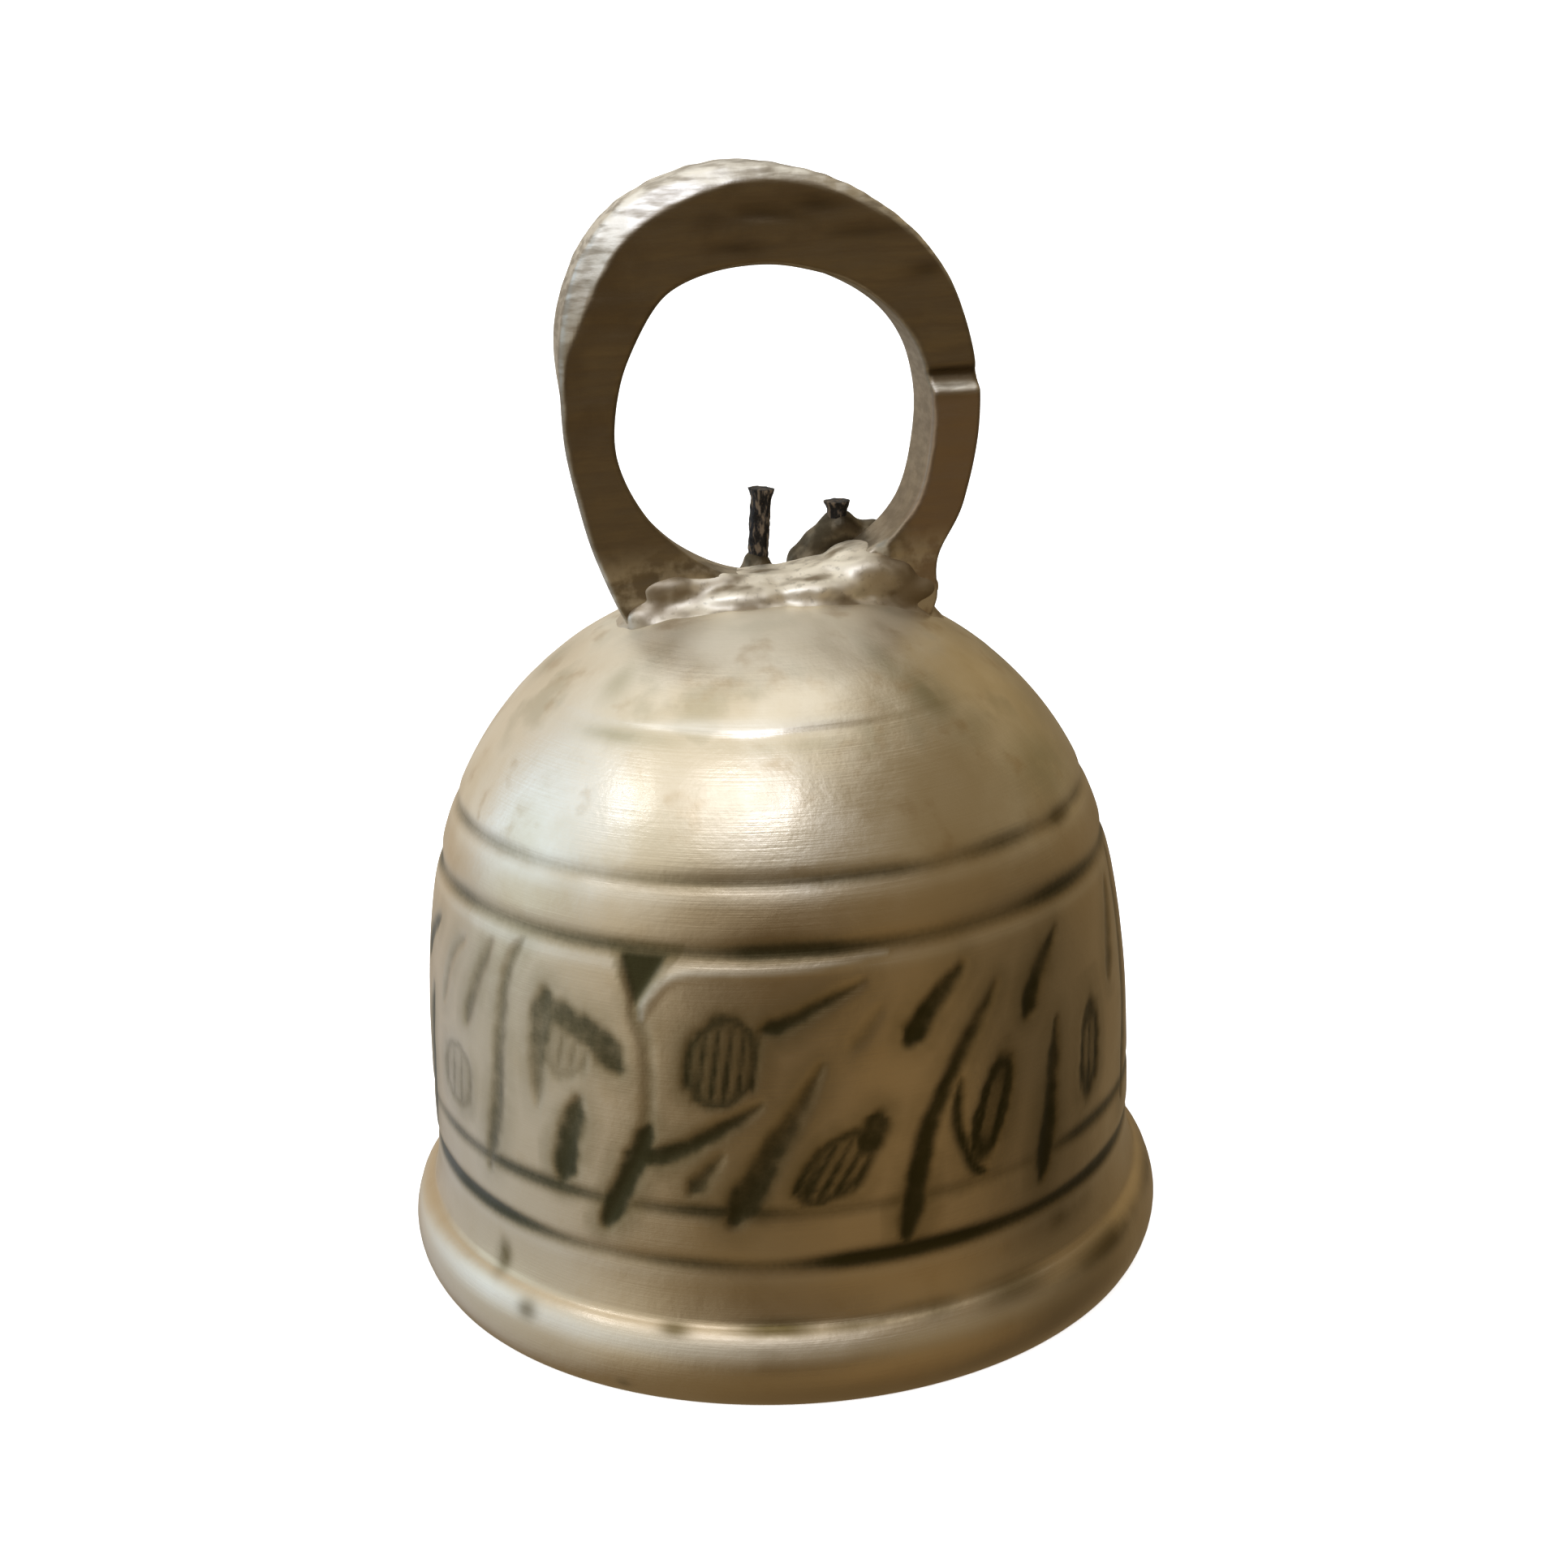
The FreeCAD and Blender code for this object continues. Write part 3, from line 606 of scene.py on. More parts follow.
def polar_radius(outline, angles):
    """The outline's distance from the loop's centre in each direction."""
    curve = smooth_path(outline, 24, closed=True) - np.array(LOOP_CENTRE)
    direction = np.arctan2(curve[:, 1], curve[:, 0])
    order = np.argsort(direction)
    return np.interp(angles, direction[order], np.hypot(curve[:, 0], curve[:, 1])[order], period=TAU)


def section_outline():
    """The loop's rounded section: each point is (across, deep, arc across, arc deep).

    Across runs from 0 at the hole to 1 outside, and deep from 0 in front to 1 behind.  The arc
    numbers say which way the point stands off its place, in corner radii.
    """
    points = []
    corners = [(0, 0), (1, 0), (1, 1), (0, 1)]
    steps = [LOOP_FACE_STEPS, LOOP_WALL_STEPS, LOOP_FACE_STEPS, LOOP_WALL_STEPS]
    for i, (across, deep) in enumerate(corners):
        start = math.radians(180 + 90 * i)
        for step in range(CORNER_STEPS + 1):
            angle = start + math.radians(90) * step / CORNER_STEPS
            points.append((across, deep, math.cos(angle), math.sin(angle)))
        after = corners[(i + 1) % 4]
        leave = start + math.radians(90)
        for step in range(1, steps[i]):
            share = step / steps[i]
            points.append((across + (after[0] - across) * share, deep + (after[1] - deep) * share,
                           math.cos(leave), math.sin(leave)))
    return points


def make_loop():
    """The cast and hand-filed finger loop: a ring with a four-sided section, filed, chipped and rubbed,
    with painted highlights and painted shade in its masks.
    """
    angles = np.linspace(-math.pi, math.pi, LOOP_COLUMNS, endpoint=False)
    outer = polar_radius(LOOP_OUTER + LOOP_FOOT, angles)
    hole = polar_radius(LOOP_HOLE, angles)
    section = section_outline()
    bevel = bevel_width(angles)
    rubbed = smoothstep(bevel, 0.05, 0.5)
    degrees = np.degrees(angles) % 360
    taper = LOOP_TAPER * smoothstep(degrees, 150, 185) * smoothstep(degrees, 300, 250)
    points, bright, face = [], [], []
    for across, deep, arc_x, arc_y in section:
        radius = hole + LOOP_CORNER + (outer - hole - 2 * LOOP_CORNER) * across + LOOP_CORNER * arc_x
        radius = radius - taper * across * deep
        x = LOOP_CENTRE[0] + radius * np.cos(angles)
        z = LOOP_CENTRE[1] + radius * np.sin(angles)
        front = loop_front(x, z)
        y = front + LOOP_CORNER + (LOOP_BACK - front - 2 * LOOP_CORNER) * deep + LOOP_CORNER * arc_y
        inward = np.maximum(bevel - (outer - radius), 0)
        y = y + np.where(deep < 0.5, inward * BEVEL_SLOPE * (1 - deep * 2), 0)
        points.append(np.column_stack([x, y, z]))
        on_wall = 1.0 if across > 0.99 and arc_x > 0.3 else 0.0
        on_front = 1.0 if arc_y < -0.9 else 0.0
        # a painted highlight on the pad's ledge, which faces up to the light
        ledge = on_front * smoothstep(x, 9, 10) * hump(z - PAD_TOP + 0.45, 0.30)
        rubbed_and_lit_edge = np.maximum(on_wall * rubbed, smoothstep(inward, 0.0, 0.3) * (deep < 0.5))
        # the filed bevel is rubbed bright; making it brighter towards the top is painted highlight
        rubbed_and_lit_edge *= 0.15 + 0.85 * smoothstep(z, 71, 82)
        bright.append(np.maximum(rubbed_and_lit_edge, ledge))
        face.append(np.full(LOOP_COLUMNS, on_front))
    points = np.vstack(points)
    bright, face = np.concatenate(bright), np.concatenate(face)
    points, pit = carve_loop(points, face, bright)
    faces = grid_faces(len(section), LOOP_COLUMNS, flip=True, closed=True)
    return make_piece("cast_loop", points, faces, {"bright": bright, "pit": pit})


def loop_front(x, z):
    """Where the loop's front lies: the lower right limb is thicker, with a sloping ledge on top."""
    thick = smoothstep(x, PAD_LEFT - 0.8, PAD_LEFT + 0.3) * smoothstep(z, PAD_TOP, PAD_TOP - PAD_SLOPE)
    undercut = PAD_UNDERCUT * smoothstep(x, 8.5, 12) * hump(z - PAD_TOP - 0.55, 0.42)
    return LOOP_FRONT + (PAD_FRONT - LOOP_FRONT) * thick + undercut


def bevel_width(angles):
    """How wide the filed bevel on the loop's outer front edge is, by direction."""
    degrees = np.degrees(angles) % 360
    ring = np.column_stack([3 * np.cos(angles), 3 * np.sin(angles), np.zeros_like(angles)])
    width = np.interp(degrees, *np.array(BEVEL_WIDTHS).T, period=360)
    return width * (1 + 0.12 * noise_field(ring, 1.1, 2.0))


def carve_loop(points, face, bright):
    """File marks, pits and an uneven cast skin; returns the moved points and the pits' mask of dirt and
    painted shade, with painted shade in the crevice over the pad.
    """
    x, y, z = points.T
    streaks = noise_field(points * (0.16, 0.3, 1.0), 0.55, 2.2)
    coarse = noise_field(points * (0.3, 0.5, 1.0), 1.6, 9.1)
    lumps = noise_field(points, 5.0, 4.4)
    pit = np.zeros(len(points))
    depth = np.zeros(len(points))
    for px, pz, half_x, half_z, deep in LOOP_PITS:
        shape = np.exp(-((x - px) / half_x) ** 2 - ((z - pz) / half_z) ** 2)
        shape *= np.clip(0.6 + 1.2 * coarse, 0, 1.3)
        depth = np.maximum(depth, 1.1 * deep * shape)
        pit = np.maximum(pit, np.clip(0.9 * shape, 0, 1))
    on_front = face * (y < 0)
    # painted shade in the crevice over the pad's ledge
    crevice = smoothstep(x, 9.5, 11.5) * hump(z - PAD_TOP - 0.65, 0.45)
    pit = np.maximum(pit, 0.9 * crevice)
    y = y + on_front * (FILE_MARKS * streaks + COARSE_MARKS * coarse + depth)
    outward = points[:, (0, 2)] - np.array(LOOP_CENTRE)
    outward /= np.linalg.norm(outward, axis=1)[:, None]
    hewn = HEWN * noise_field(points * (1.0, 0.35, 1.0), 1.1, 1.7)
    push = CAST_SKIN * lumps + bright * hewn
    moved = np.column_stack([x + outward[:, 0] * push, y, z + outward[:, 1] * push])
    return moved, pit * on_front


# ---- brazing, solder and iron -----------------------------------------------
FOOT_MIDDLE = (1.3, 0.05)
FOOT_HALF = (11.7, 2.55)
FOOT_SQUARENESS = 5.0
# The brazing's size along the foot: place in x, then reach over the crown and height up the
# loop in front, and the same behind.
BRAZE_SIZES = [
    (-10.6, 0.9, 1.0, 1.0, 1.0), (-9.0, 1.4, 1.8, 1.4, 1.4), (-6.5, 2.0, 2.2, 1.8, 1.7),
    (-3.5, 2.6, 2.4, 1.7, 1.8), (0.0, 2.9, 1.9, 1.9, 1.5), (3.5, 2.7, 2.2, 1.8, 1.6),
    (7.0, 2.3, 3.0, 1.6, 1.4), (9.5, 1.9, 3.3, 1.5, 1.6), (11.5, 1.6, 2.4, 1.4, 1.4),
    (13.0, 1.1, 1.4, 1.1, 1.1),
]
BRAZE_STATIONS = 200
BRAZE_ARC_STEPS = 10
BRAZE_ROOT = 0.6            # how far the fillet reaches down into the crown
LUMP_RINGS = 12
LUMP_COLUMNS = 20
RIPPLE_SIZE = 2.4
GRAIN_SIZE = 0.8
# Lumps of brazing on the fillet and smeared over the hole's lower edge: centre and radii.
BRAZE_LUMPS = [
    ((-9.0, -2.2, 51.4), (2.0, 1.1, 1.1)), ((-6.9, -2.2, 53.2), (2.9, 0.8, 1.2)),
    ((-1.4, -3.0, 52.4), (4.0, 1.7, 0.9)), ((3.6, -3.1, 52.5), (4.0, 1.8, 1.1)),
    ((8.0, -2.7, 53.1), (3.4, 1.4, 1.6)), ((11.0, -2.0, 51.8), (2.4, 1.7, 1.3)),
    ((0.6, 0.0, 52.9), (4.6, 3.0, 0.9)), ((4.6, 0.0, 53.1), (4.0, 3.0, 1.1)),
    ((7.9, 0.0, 54.0), (3.2, 2.9, 1.2)),
    ((-6.0, 2.9, 51.9), (3.2, 1.3, 1.2)), ((10.8, 2.6, 51.4), (2.2, 1.5, 1.3)),
]
# The solder behind the loop's right foot, then the cone round the left wire end.
SOLDER_LUMPS = [
    ((8.0, 4.3, 50.9), (4.9, 2.8, 4.7)), ((7.0, 3.7, 55.2), (1.9, 1.4, 1.9)),
    ((9.3, 4.0, 54.2), (2.6, 1.9, 1.9)), ((5.0, 4.2, 53.0), (2.2, 1.8, 1.8)),
    ((5.8, 4.0, 54.2), (1.9, 1.5, 1.6)), ((12.0, 4.0, 52.4), (2.4, 2.0, 2.9)),
    ((8.6, 5.9, 51.6), (3.4, 1.6, 2.2)), ((0.4, 3.5, 52.4), (1.7, 1.7, 1.2)),
    ((0.4, 3.5, 53.6), (1.15, 1.15, 1.0)),
]


def crown_height(x, y):
    """The height of the crown's outside over a place in plan, flattened under the brazing."""
    r = np.hypot(x, y)
    return np.where(r < CAP_RADIUS, cap_height(r), dome_height(np.maximum(r, CAP_RADIUS)))


def signed_power(value, power):
    """value's size to a power, with its own sign."""
    return np.sign(value) * np.abs(value) ** power


def braze_fillet():
    """A concave fillet round the loop's foot, as points and faces of a closed ring."""
    turn = np.linspace(0, TAU, BRAZE_STATIONS, endpoint=False)
    across = signed_power(np.cos(turn), 2 / FOOT_SQUARENESS)
    deep = signed_power(np.sin(turn), 2 / FOOT_SQUARENESS)
    x = FOOT_MIDDLE[0] + FOOT_HALF[0] * across
    y = FOOT_MIDDLE[1] + FOOT_HALF[1] * deep
    out = np.column_stack([signed_power(across, FOOT_SQUARENESS - 1) / FOOT_HALF[0],
                           signed_power(deep, FOOT_SQUARENESS - 1) / FOOT_HALF[1]])
    out /= np.linalg.norm(out, axis=1)[:, None]
    sizes = np.array(BRAZE_SIZES).T
    behind = smoothstep(y, -1, 1)
    in_front = [np.interp(x, sizes[0], row) for row in sizes[1:3]]
    at_back = [np.interp(x, sizes[0], row) for row in sizes[3:5]]
    reach, rise = (a * (1 - behind) + b * behind for a, b in zip(in_front, at_back))
    section = [(-0.9, -BRAZE_ROOT), (-0.9, 1.0)]
    for step in range(BRAZE_ARC_STEPS + 1):
        angle = math.radians(90) * step / BRAZE_ARC_STEPS
        section.append((1 - math.cos(angle), 1 - math.sin(angle)))
    section.append((1.0, -BRAZE_ROOT))
    points = []
    for outward, up in section:
        shift = reach * outward if outward > 0 else np.full_like(reach, outward)
        px, py = x + out[:, 0] * shift, y + out[:, 1] * shift
        points.append(np.column_stack([px, py, crown_height(px, py) + (rise * up if up > 0 else up)]))
    return np.vstack(points).tolist(), grid_faces(len(section), BRAZE_STATIONS, flip=True, closed=True)


def make_lumps(name, lumps, voxel, melting, ripple, core=None):
    """Overlapping lumps, and a core if there is one, melted into one skin."""
    points, faces = core if core else ([], [])
    for (x, y, z), (half_x, half_y, half_z) in lumps:
        first = len(points)
        points.append((x, y, z - half_z))
        for i in range(1, LUMP_RINGS):
            for j in range(LUMP_COLUMNS):
                up, turn = math.pi * i / LUMP_RINGS, TAU * j / LUMP_COLUMNS
                points.append((x + half_x * math.sin(up) * math.cos(turn),
                               y + half_y * math.sin(up) * math.sin(turn), z - half_z * math.cos(up)))
        points.append((x, y, z + half_z))
        top = len(points) - 1
        faces += grid_faces(LUMP_RINGS - 1, LUMP_COLUMNS, first + 1)
        faces += fan_faces(first, first + 1, LUMP_COLUMNS, flip=True)
        faces += fan_faces(top, top - LUMP_COLUMNS, LUMP_COLUMNS)
    piece = make_piece(name, points, faces)
    melt(piece, voxel, melting)
    ripples(piece, "ripple", RIPPLE_SIZE, ripple)
    ripples(piece, "grain", GRAIN_SIZE, ripple * 0.15)
    return piece


def melt(piece, voxel, smoothing):
    """Close a piece into one skin of small faces, smoothed so many times."""
    skin = piece.modifiers.new("skin", "REMESH")
    skin.mode = "VOXEL"
    skin.voxel_size = voxel * MM
    skin.use_smooth_shade = True
    flow = piece.modifiers.new("flow", "SMOOTH")
    flow.iterations = smoothing


def ripples(piece, name, size, height):
    """Push a piece's skin in and out by clouded noise, size and height in millimetres."""
    clouds = bpy.data.textures.new(piece.name + "_" + name, "CLOUDS")
    clouds.noise_scale = size * MM
    clouds.noise_depth = 1
    push = piece.modifiers.new(name, "DISPLACE")
    push.texture = clouds
    push.texture_coords = "LOCAL"
    push.strength = height * MM
    push.mid_level = 0.5


def roughen(node, voxel, size, height):
    """Give a CAD piece a forged or cast skin with modifiers; its own mesh stays as it is."""
    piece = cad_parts[node]
    melt(piece, voxel, 2)
    ripples(piece, "forged", size, height)
    return piece


# ---- materials --------------------------------------------------------------
class Nodes:
    """Short calls that add and join the nodes of one node tree; colours are linear RGB."""

    def __init__(self, owner):
        owner.use_nodes = True
        self.tree = owner.node_tree
        self.tree.nodes.clear()

    def add(self, kind, inputs=None, **settings):
        """One node with its settings; an input is a value, or another node's socket to join."""
        node = self.tree.nodes.new("ShaderNode" + kind)
        for key, value in settings.items():
            setattr(node, key, value)
        for key, value in (inputs or {}).items():
            if isinstance(value, bpy.types.NodeSocket):
                self.tree.links.new(value, node.inputs[key])
            else:
                node.inputs[key].default_value = value
        return node

    def ramp(self, value, low, high, to_low=0.0, to_high=1.0):
        """value's smooth share between low and high, or the range given for it."""
        inputs = {"Value": value, "From Min": low, "From Max": high, "To Min": to_low, "To Max": to_high}
        return self.add("MapRange", inputs, interpolation_type="SMOOTHSTEP").outputs["Result"]

    def mix(self, share, a, b, blend="MIX"):
        """Colour a turning to b."""
        a, b = (end if isinstance(end, bpy.types.NodeSocket) else (*end, 1) for end in (a, b))
        return self.add("Mix", {0: share, 6: a, 7: b}, data_type="RGBA", blend_type=blend).outputs[2]


class Shader(Nodes):
    """One surface: a first colour, with others painted over it."""

    def __init__(self, name, colour):
        self.material = bpy.data.materials.new(name)
        super().__init__(self.material)
        self.colour = colour
        self.place = self.add("TexCoord").outputs["Object"]
        self.x, self.y, self.z = self.add("SeparateXYZ", {"Vector": self.place}).outputs

    def noise(self, size, stretch=(1, 1, 1), detail=4.0, shift=0.0):
        """Noise with lumps about size millimetres across, longer along an axis by its stretch."""
        scale = tuple(1 / (size * MM * s) for s in stretch)
        spot = self.add("Mapping", {"Vector": self.place, "Location": [shift] * 3, "Scale": scale})
        noise_node = self.add("TexNoise", {"Vector": spot.outputs[0], "Scale": 1.0, "Detail": detail})
        return noise_node.outputs["Fac"]

    def attribute(self, name):
        return self.add("Attribute", attribute_name=name).outputs["Fac"]

    def math(self, operation, a, b):
        return self.add("Math", {0: a, 1: b}, operation=operation).outputs[0]

    def times(self, a, b):
        return self.math("MULTIPLY", a, b)

    def plus(self, a, b, share=1.0):
        """a with a share of b on top."""
        return self.math("ADD", a, self.times(b, share))

    def paint(self, colour, mask, share=1.0):
        """Lay a colour over the surface where the mask is, no more than the share of it."""
        self.colour = self.mix(self.times(mask, share), self.colour, colour)

    def finish(self, roughness, *bumps, metallic=1.0):
        """The surface shader; each bump is a height and its distance in millimetres."""
        inputs = {"Base Color": self.colour, "Roughness": roughness, "Metallic": metallic}
        for height, distance in bumps:
            under = {"Normal": inputs["Normal"]} if "Normal" in inputs else {}
            bump = self.add("Bump", {"Height": height, "Distance": distance * MM, "Strength": 1.0, **under})
            inputs["Normal"] = bump.outputs["Normal"]
        self.add("OutputMaterial", {0: self.add("BsdfPrincipled", inputs).outputs[0]})
        return self.material


PALE_BRASS = (0.79, 0.71, 0.56)
GOLD_BRASS = (0.66, 0.56, 0.39)
BROWN_BRASS = (0.50, 0.375, 0.215)
GREY_GREEN = (0.36, 0.32, 0.19)
# rubbed brass, also used as the colour of painted highlights
RUBBED_AND_LIT_BRASS = (0.85, 0.79, 0.65)
SMUDGE_BROWN = (0.26, 0.20, 0.10)
# the colour of the engraving's filling, of the stains and of the painted shade on the lip's right shoulder
DIRT_AND_SHADE_BROWN = (0.118, 0.082, 0.022)
GREEN_BLACK = (0.058, 0.050, 0.020)
# Heights, in metres, between which a finish of the bell sets in.
# below these heights the brass is browner, partly painted shade
BROWN_BELOW = (0.0425, 0.0375)
CROWN_PATINA = (0.040, 0.046)
RUBBED_ABOVE = (0.0495, 0.0525)


def turned_brass():
    """Aged turned brass with dark filling in its engraving."""
    mat = Shader("turned_brass", GOLD_BRASS)
    clouds = mat.noise(12, detail=5.0)
    blots = mat.noise(5, detail=6.0, shift=3.0)
    grain = mat.noise(0.35, detail=3.0)
    turning = mat.noise(0.12, stretch=(60, 60, 1), detail=3.0, shift=1.0)
    wear_and_highlight = mat.attribute("wear_and_highlight")
    inside = mat.attribute("inside")
    mat.paint(PALE_BRASS, mat.ramp(clouds, 0.38, 0.62))
    # browner low on the body: the brass's own tone, with painted shade for the darker reflections there
    mat.paint(BROWN_BRASS, mat.ramp(mat.plus(mat.z, clouds, 0.006), *BROWN_BELOW), 0.85)
    crown = mat.times(mat.ramp(mat.z, *CROWN_PATINA), mat.ramp(blots, 0.52, 0.70, 0.0, 0.45))
    patches = mat.times(mat.attribute("patina"), mat.ramp(blots, 0.30, 0.55, 0.3, 1.0))
    mat.paint(GREY_GREEN, mat.math("MAXIMUM", crown, patches), 0.85)
    rim = mat.ramp(mat.plus(mat.z, blots, 0.003), *RUBBED_ABOVE)
    mat.paint(RUBBED_AND_LIT_BRASS, rim, 0.6)
    tarnish = mat.ramp(mat.noise(3, detail=6.0, shift=8.0), 0.55, 0.75)
    mat.paint(BROWN_BRASS, tarnish, 0.55)
    # rubbed brass and painted highlights on the lip's shoulder, the grooves' bevels, the crown line and the
    # panel edges
    mat.paint(RUBBED_AND_LIT_BRASS, wear_and_highlight, 0.7)
    mat.paint(BROWN_BRASS, inside, 0.55)
    mat.paint(SMUDGE_BROWN, mat.attribute("smudge"), mat.ramp(blots, 0.32, 0.62, 0.25, 0.75))

    filling = mat.attribute("filling")
    ragged = mat.times(mat.math("SUBTRACT", grain, 0.5), mat.ramp(filling, 0.02, 0.3, 0.0, 0.13))
    filling = mat.ramp(mat.plus(filling, ragged), 0.04, 0.92)
    mat.paint(mat.mix(mat.ramp(filling, 0.35, 0.95), DIRT_AND_SHADE_BROWN, GREEN_BLACK), filling)
    # stains, and painted shade on the right of the lip's shoulder
    stain_and_shade = mat.times(mat.attribute("stain_and_shade"), mat.ramp(blots, 0.25, 0.55, 0.5, 1.1))
    stain_and_shade = mat.ramp(stain_and_shade, 0.05, 1.0)
    mat.paint(DIRT_AND_SHADE_BROWN, stain_and_shade)

    dark = mat.math("MAXIMUM", filling, stain_and_shade)
    rough = mat.ramp(blots, 0.3, 0.7, 0.29, 0.38)
    for mask, rougher in ((dark, 0.12), (inside, 0.12), (rim, 0.2), (wear_and_highlight, 0.15)):
        rough = mat.plus(rough, mask, rougher)
    skin = mat.noise(1.6, detail=5.0, shift=5.0)
    return mat.finish(rough, (turning, 0.012), (grain, 0.010), (skin, 0.03))


FILED_DARK = (0.212, 0.160, 0.096)
FILED_LIGHT = (0.258, 0.200, 0.124)
FILED_CLOUD = (0.16, 0.117, 0.068)
LIMB_BRASS = (0.33, 0.235, 0.150)
PIT_DIRT_AND_SHADE = (0.05, 0.034, 0.016)
# the filed bevel's brass, also the colour of the painted highlights on the bevel and the pad's ledge
BEVEL_AND_HIGHLIGHT_BRASS = (0.82, 0.77, 0.66)
SMEARED_BRAZE = (0.60, 0.52, 0.385)
# Where the front of the lower right limb begins, in metres: its inner side, top and face.
LIMB_X = (0.0095, 0.0115)
LIMB_Z = (0.0672, 0.0655)
LIMB_Y = (-0.0022, -0.0030)
SMEARED_BELOW = (0.0592, 0.0560)


def filed_brass():
    """Dark, coarsely filed brass, rubbed bright on the loop's upper left, with painted highlights on the
    bevel and the pad's ledge, and painted shade in the pits and the crevice over the pad.
    """
    mat = Shader("filed_brass", FILED_DARK)
    streaks = mat.noise(0.55, stretch=(7, 3, 1), detail=5.0)
    fine = mat.noise(0.16, stretch=(14, 4, 1), detail=3.0, shift=2.0)
    clouds = mat.noise(5, detail=5.0, shift=4.0)
    lumps = mat.noise(1.9, detail=4.0, shift=6.0)
    mat.paint(FILED_LIGHT, mat.ramp(streaks, 0.30, 0.72))
    mat.paint(FILED_CLOUD, mat.ramp(clouds, 0.46, 0.66, 0.0, 0.5))
    limb = mat.times(mat.ramp(mat.x, *LIMB_X), mat.ramp(mat.z, *LIMB_Z))
    mat.paint(LIMB_BRASS, mat.times(limb, mat.ramp(mat.y, *LIMB_Y)), 0.8)
    # dirt and painted shade in the pits, painted shade in the crevice over the pad
    mat.paint(PIT_DIRT_AND_SHADE, mat.attribute("pit"), 0.9)
    # the rubbed, filed bevel, with painted highlight towards the top and on the pad's ledge
    mat.paint(BEVEL_AND_HIGHLIGHT_BRASS, mat.attribute("bright"), mat.ramp(streaks, 0.36, 0.60, 0.35, 1.0))
    foot = mat.ramp(mat.plus(mat.z, lumps, 0.004), *SMEARED_BELOW)
    mat.paint(SMEARED_BRAZE, foot, mat.ramp(lumps, 0.38, 0.58, 0.12, 0.95))
    rough = mat.ramp(streaks, 0.3, 0.7, 0.48, 0.38)
    return mat.finish(rough, (streaks, 0.02), (fine, 0.012), (lumps, 0.08))


BRAZE_DARK = (0.34, 0.27, 0.175)
BRAZE_PALE = (0.92, 0.84, 0.68)
BRAZE_DIRT = (0.22, 0.175, 0.11)
BRAZE_BROWN = (0.30, 0.225, 0.135)
BROWN_LEFT_OF = (-0.0045, -0.0095)      # metres along the foot
BROWN_RIGHT_OF = (0.0060, 0.0095)


def braze_brass():
    """Lumpy pale brazing brass, browner at both ends, with dirt in its hollows."""
    mat = Shader("braze_brass", BRAZE_DARK)
    lumps = mat.noise(2.6, stretch=(1.5, 1, 1), detail=2.5)
    fine = mat.noise(0.5, detail=4.0, shift=2.0)
    mat.paint(BRAZE_PALE, mat.ramp(lumps, 0.35, 0.55))
    mat.paint(BRAZE_DIRT, mat.ramp(fine, 0.54, 0.72, 0.0, 0.35))
    x = mat.plus(mat.x, mat.math("SUBTRACT", lumps, 0.5), 0.008)
    ends = mat.math("MAXIMUM", mat.ramp(x, *BROWN_LEFT_OF), mat.ramp(x, *BROWN_RIGHT_OF))
    mat.paint(BRAZE_BROWN, ends, 0.60)
    rough = mat.ramp(lumps, 0.35, 0.65, 0.60, 0.46)
    return mat.finish(rough, (lumps, 0.05), (fine, 0.010))


SOLDER_DARK = (0.100, 0.078, 0.046)
SOLDER_LIGHT = (0.21, 0.168, 0.105)
SOOT = (0.022, 0.018, 0.012)
SOOT_ABOVE = (0.0572, 0.0602)           # metres


def dark_solder():
    """Brass-stained solder, sooty near the iron."""
    mat = Shader("dark_solder", SOLDER_DARK)
    lumps = mat.noise(1.8, detail=5.0)
    fine = mat.noise(0.35, detail=4.0, shift=2.0)
    mat.paint(SOLDER_LIGHT, mat.ramp(lumps, 0.38, 0.62))
    mat.paint(SOOT, mat.ramp(mat.plus(mat.z, lumps, 0.004), *SOOT_ABOVE))
    rough = mat.ramp(lumps, 0.35, 0.65, 0.60, 0.45)
    return mat.finish(rough, (lumps, 0.12), (fine, 0.03))


IRON_BLACK = (0.014, 0.012, 0.010)
RUST = (0.15, 0.105, 0.062)
RUST_DUST = (0.09, 0.06, 0.035)


def black_iron(name, rust):
    """Blackened iron wire with brown specks of rust."""
    mat = Shader(name, IRON_BLACK)
    specks = mat.noise(0.4, stretch=(1, 1, 3), detail=6.0)
    fine = mat.noise(0.15, detail=3.0, shift=6.0)
    mat.paint(RUST, mat.ramp(specks, 0.50, 0.62, 0.0, rust))
    mat.paint(RUST_DUST, mat.ramp(fine, 0.55, 0.75, 0.0, 0.5))
    rough = mat.ramp(specks, 0.4, 0.65, 0.5, 0.75)
    metallic = mat.ramp(specks, 0.4, 0.65, 0.75, 0.25)
    return mat.finish(rough, (specks, 0.06), (fine, 0.03), metallic=metallic)


CAST_DARK = (0.20, 0.14, 0.07)
CAST_LIGHT = (0.46, 0.35, 0.18)
STRUCK_BRASS = (0.66, 0.53, 0.31)
BALL_MIDDLE = 0.0106                    # metres up
STRIKING_BAND = (0.0032, 0.001)         # metres from the middle


def cast_brass():
    """The clapper's rough cast brass, bright in the band where it strikes."""
    mat = Shader("cast_brass", CAST_DARK)
    skin = mat.noise(1.2, detail=6.0)
    pits = mat.noise(0.35, detail=4.0, shift=3.0)
    mat.paint(CAST_LIGHT, mat.ramp(skin, 0.4, 0.62))
    away = mat.math("ABSOLUTE", mat.math("SUBTRACT", mat.z, BALL_MIDDLE), 0)
    mat.paint(STRUCK_BRASS, mat.ramp(away, *STRIKING_BAND), mat.ramp(skin, 0.3, 0.6))
    rough = mat.ramp(skin, 0.35, 0.65, 0.55, 0.38)
    metallic = mat.ramp(pits, 0.3, 0.7, 0.9, 0.7)
    return mat.finish(rough, (skin, 0.12), (pits, 0.06), metallic=metallic)


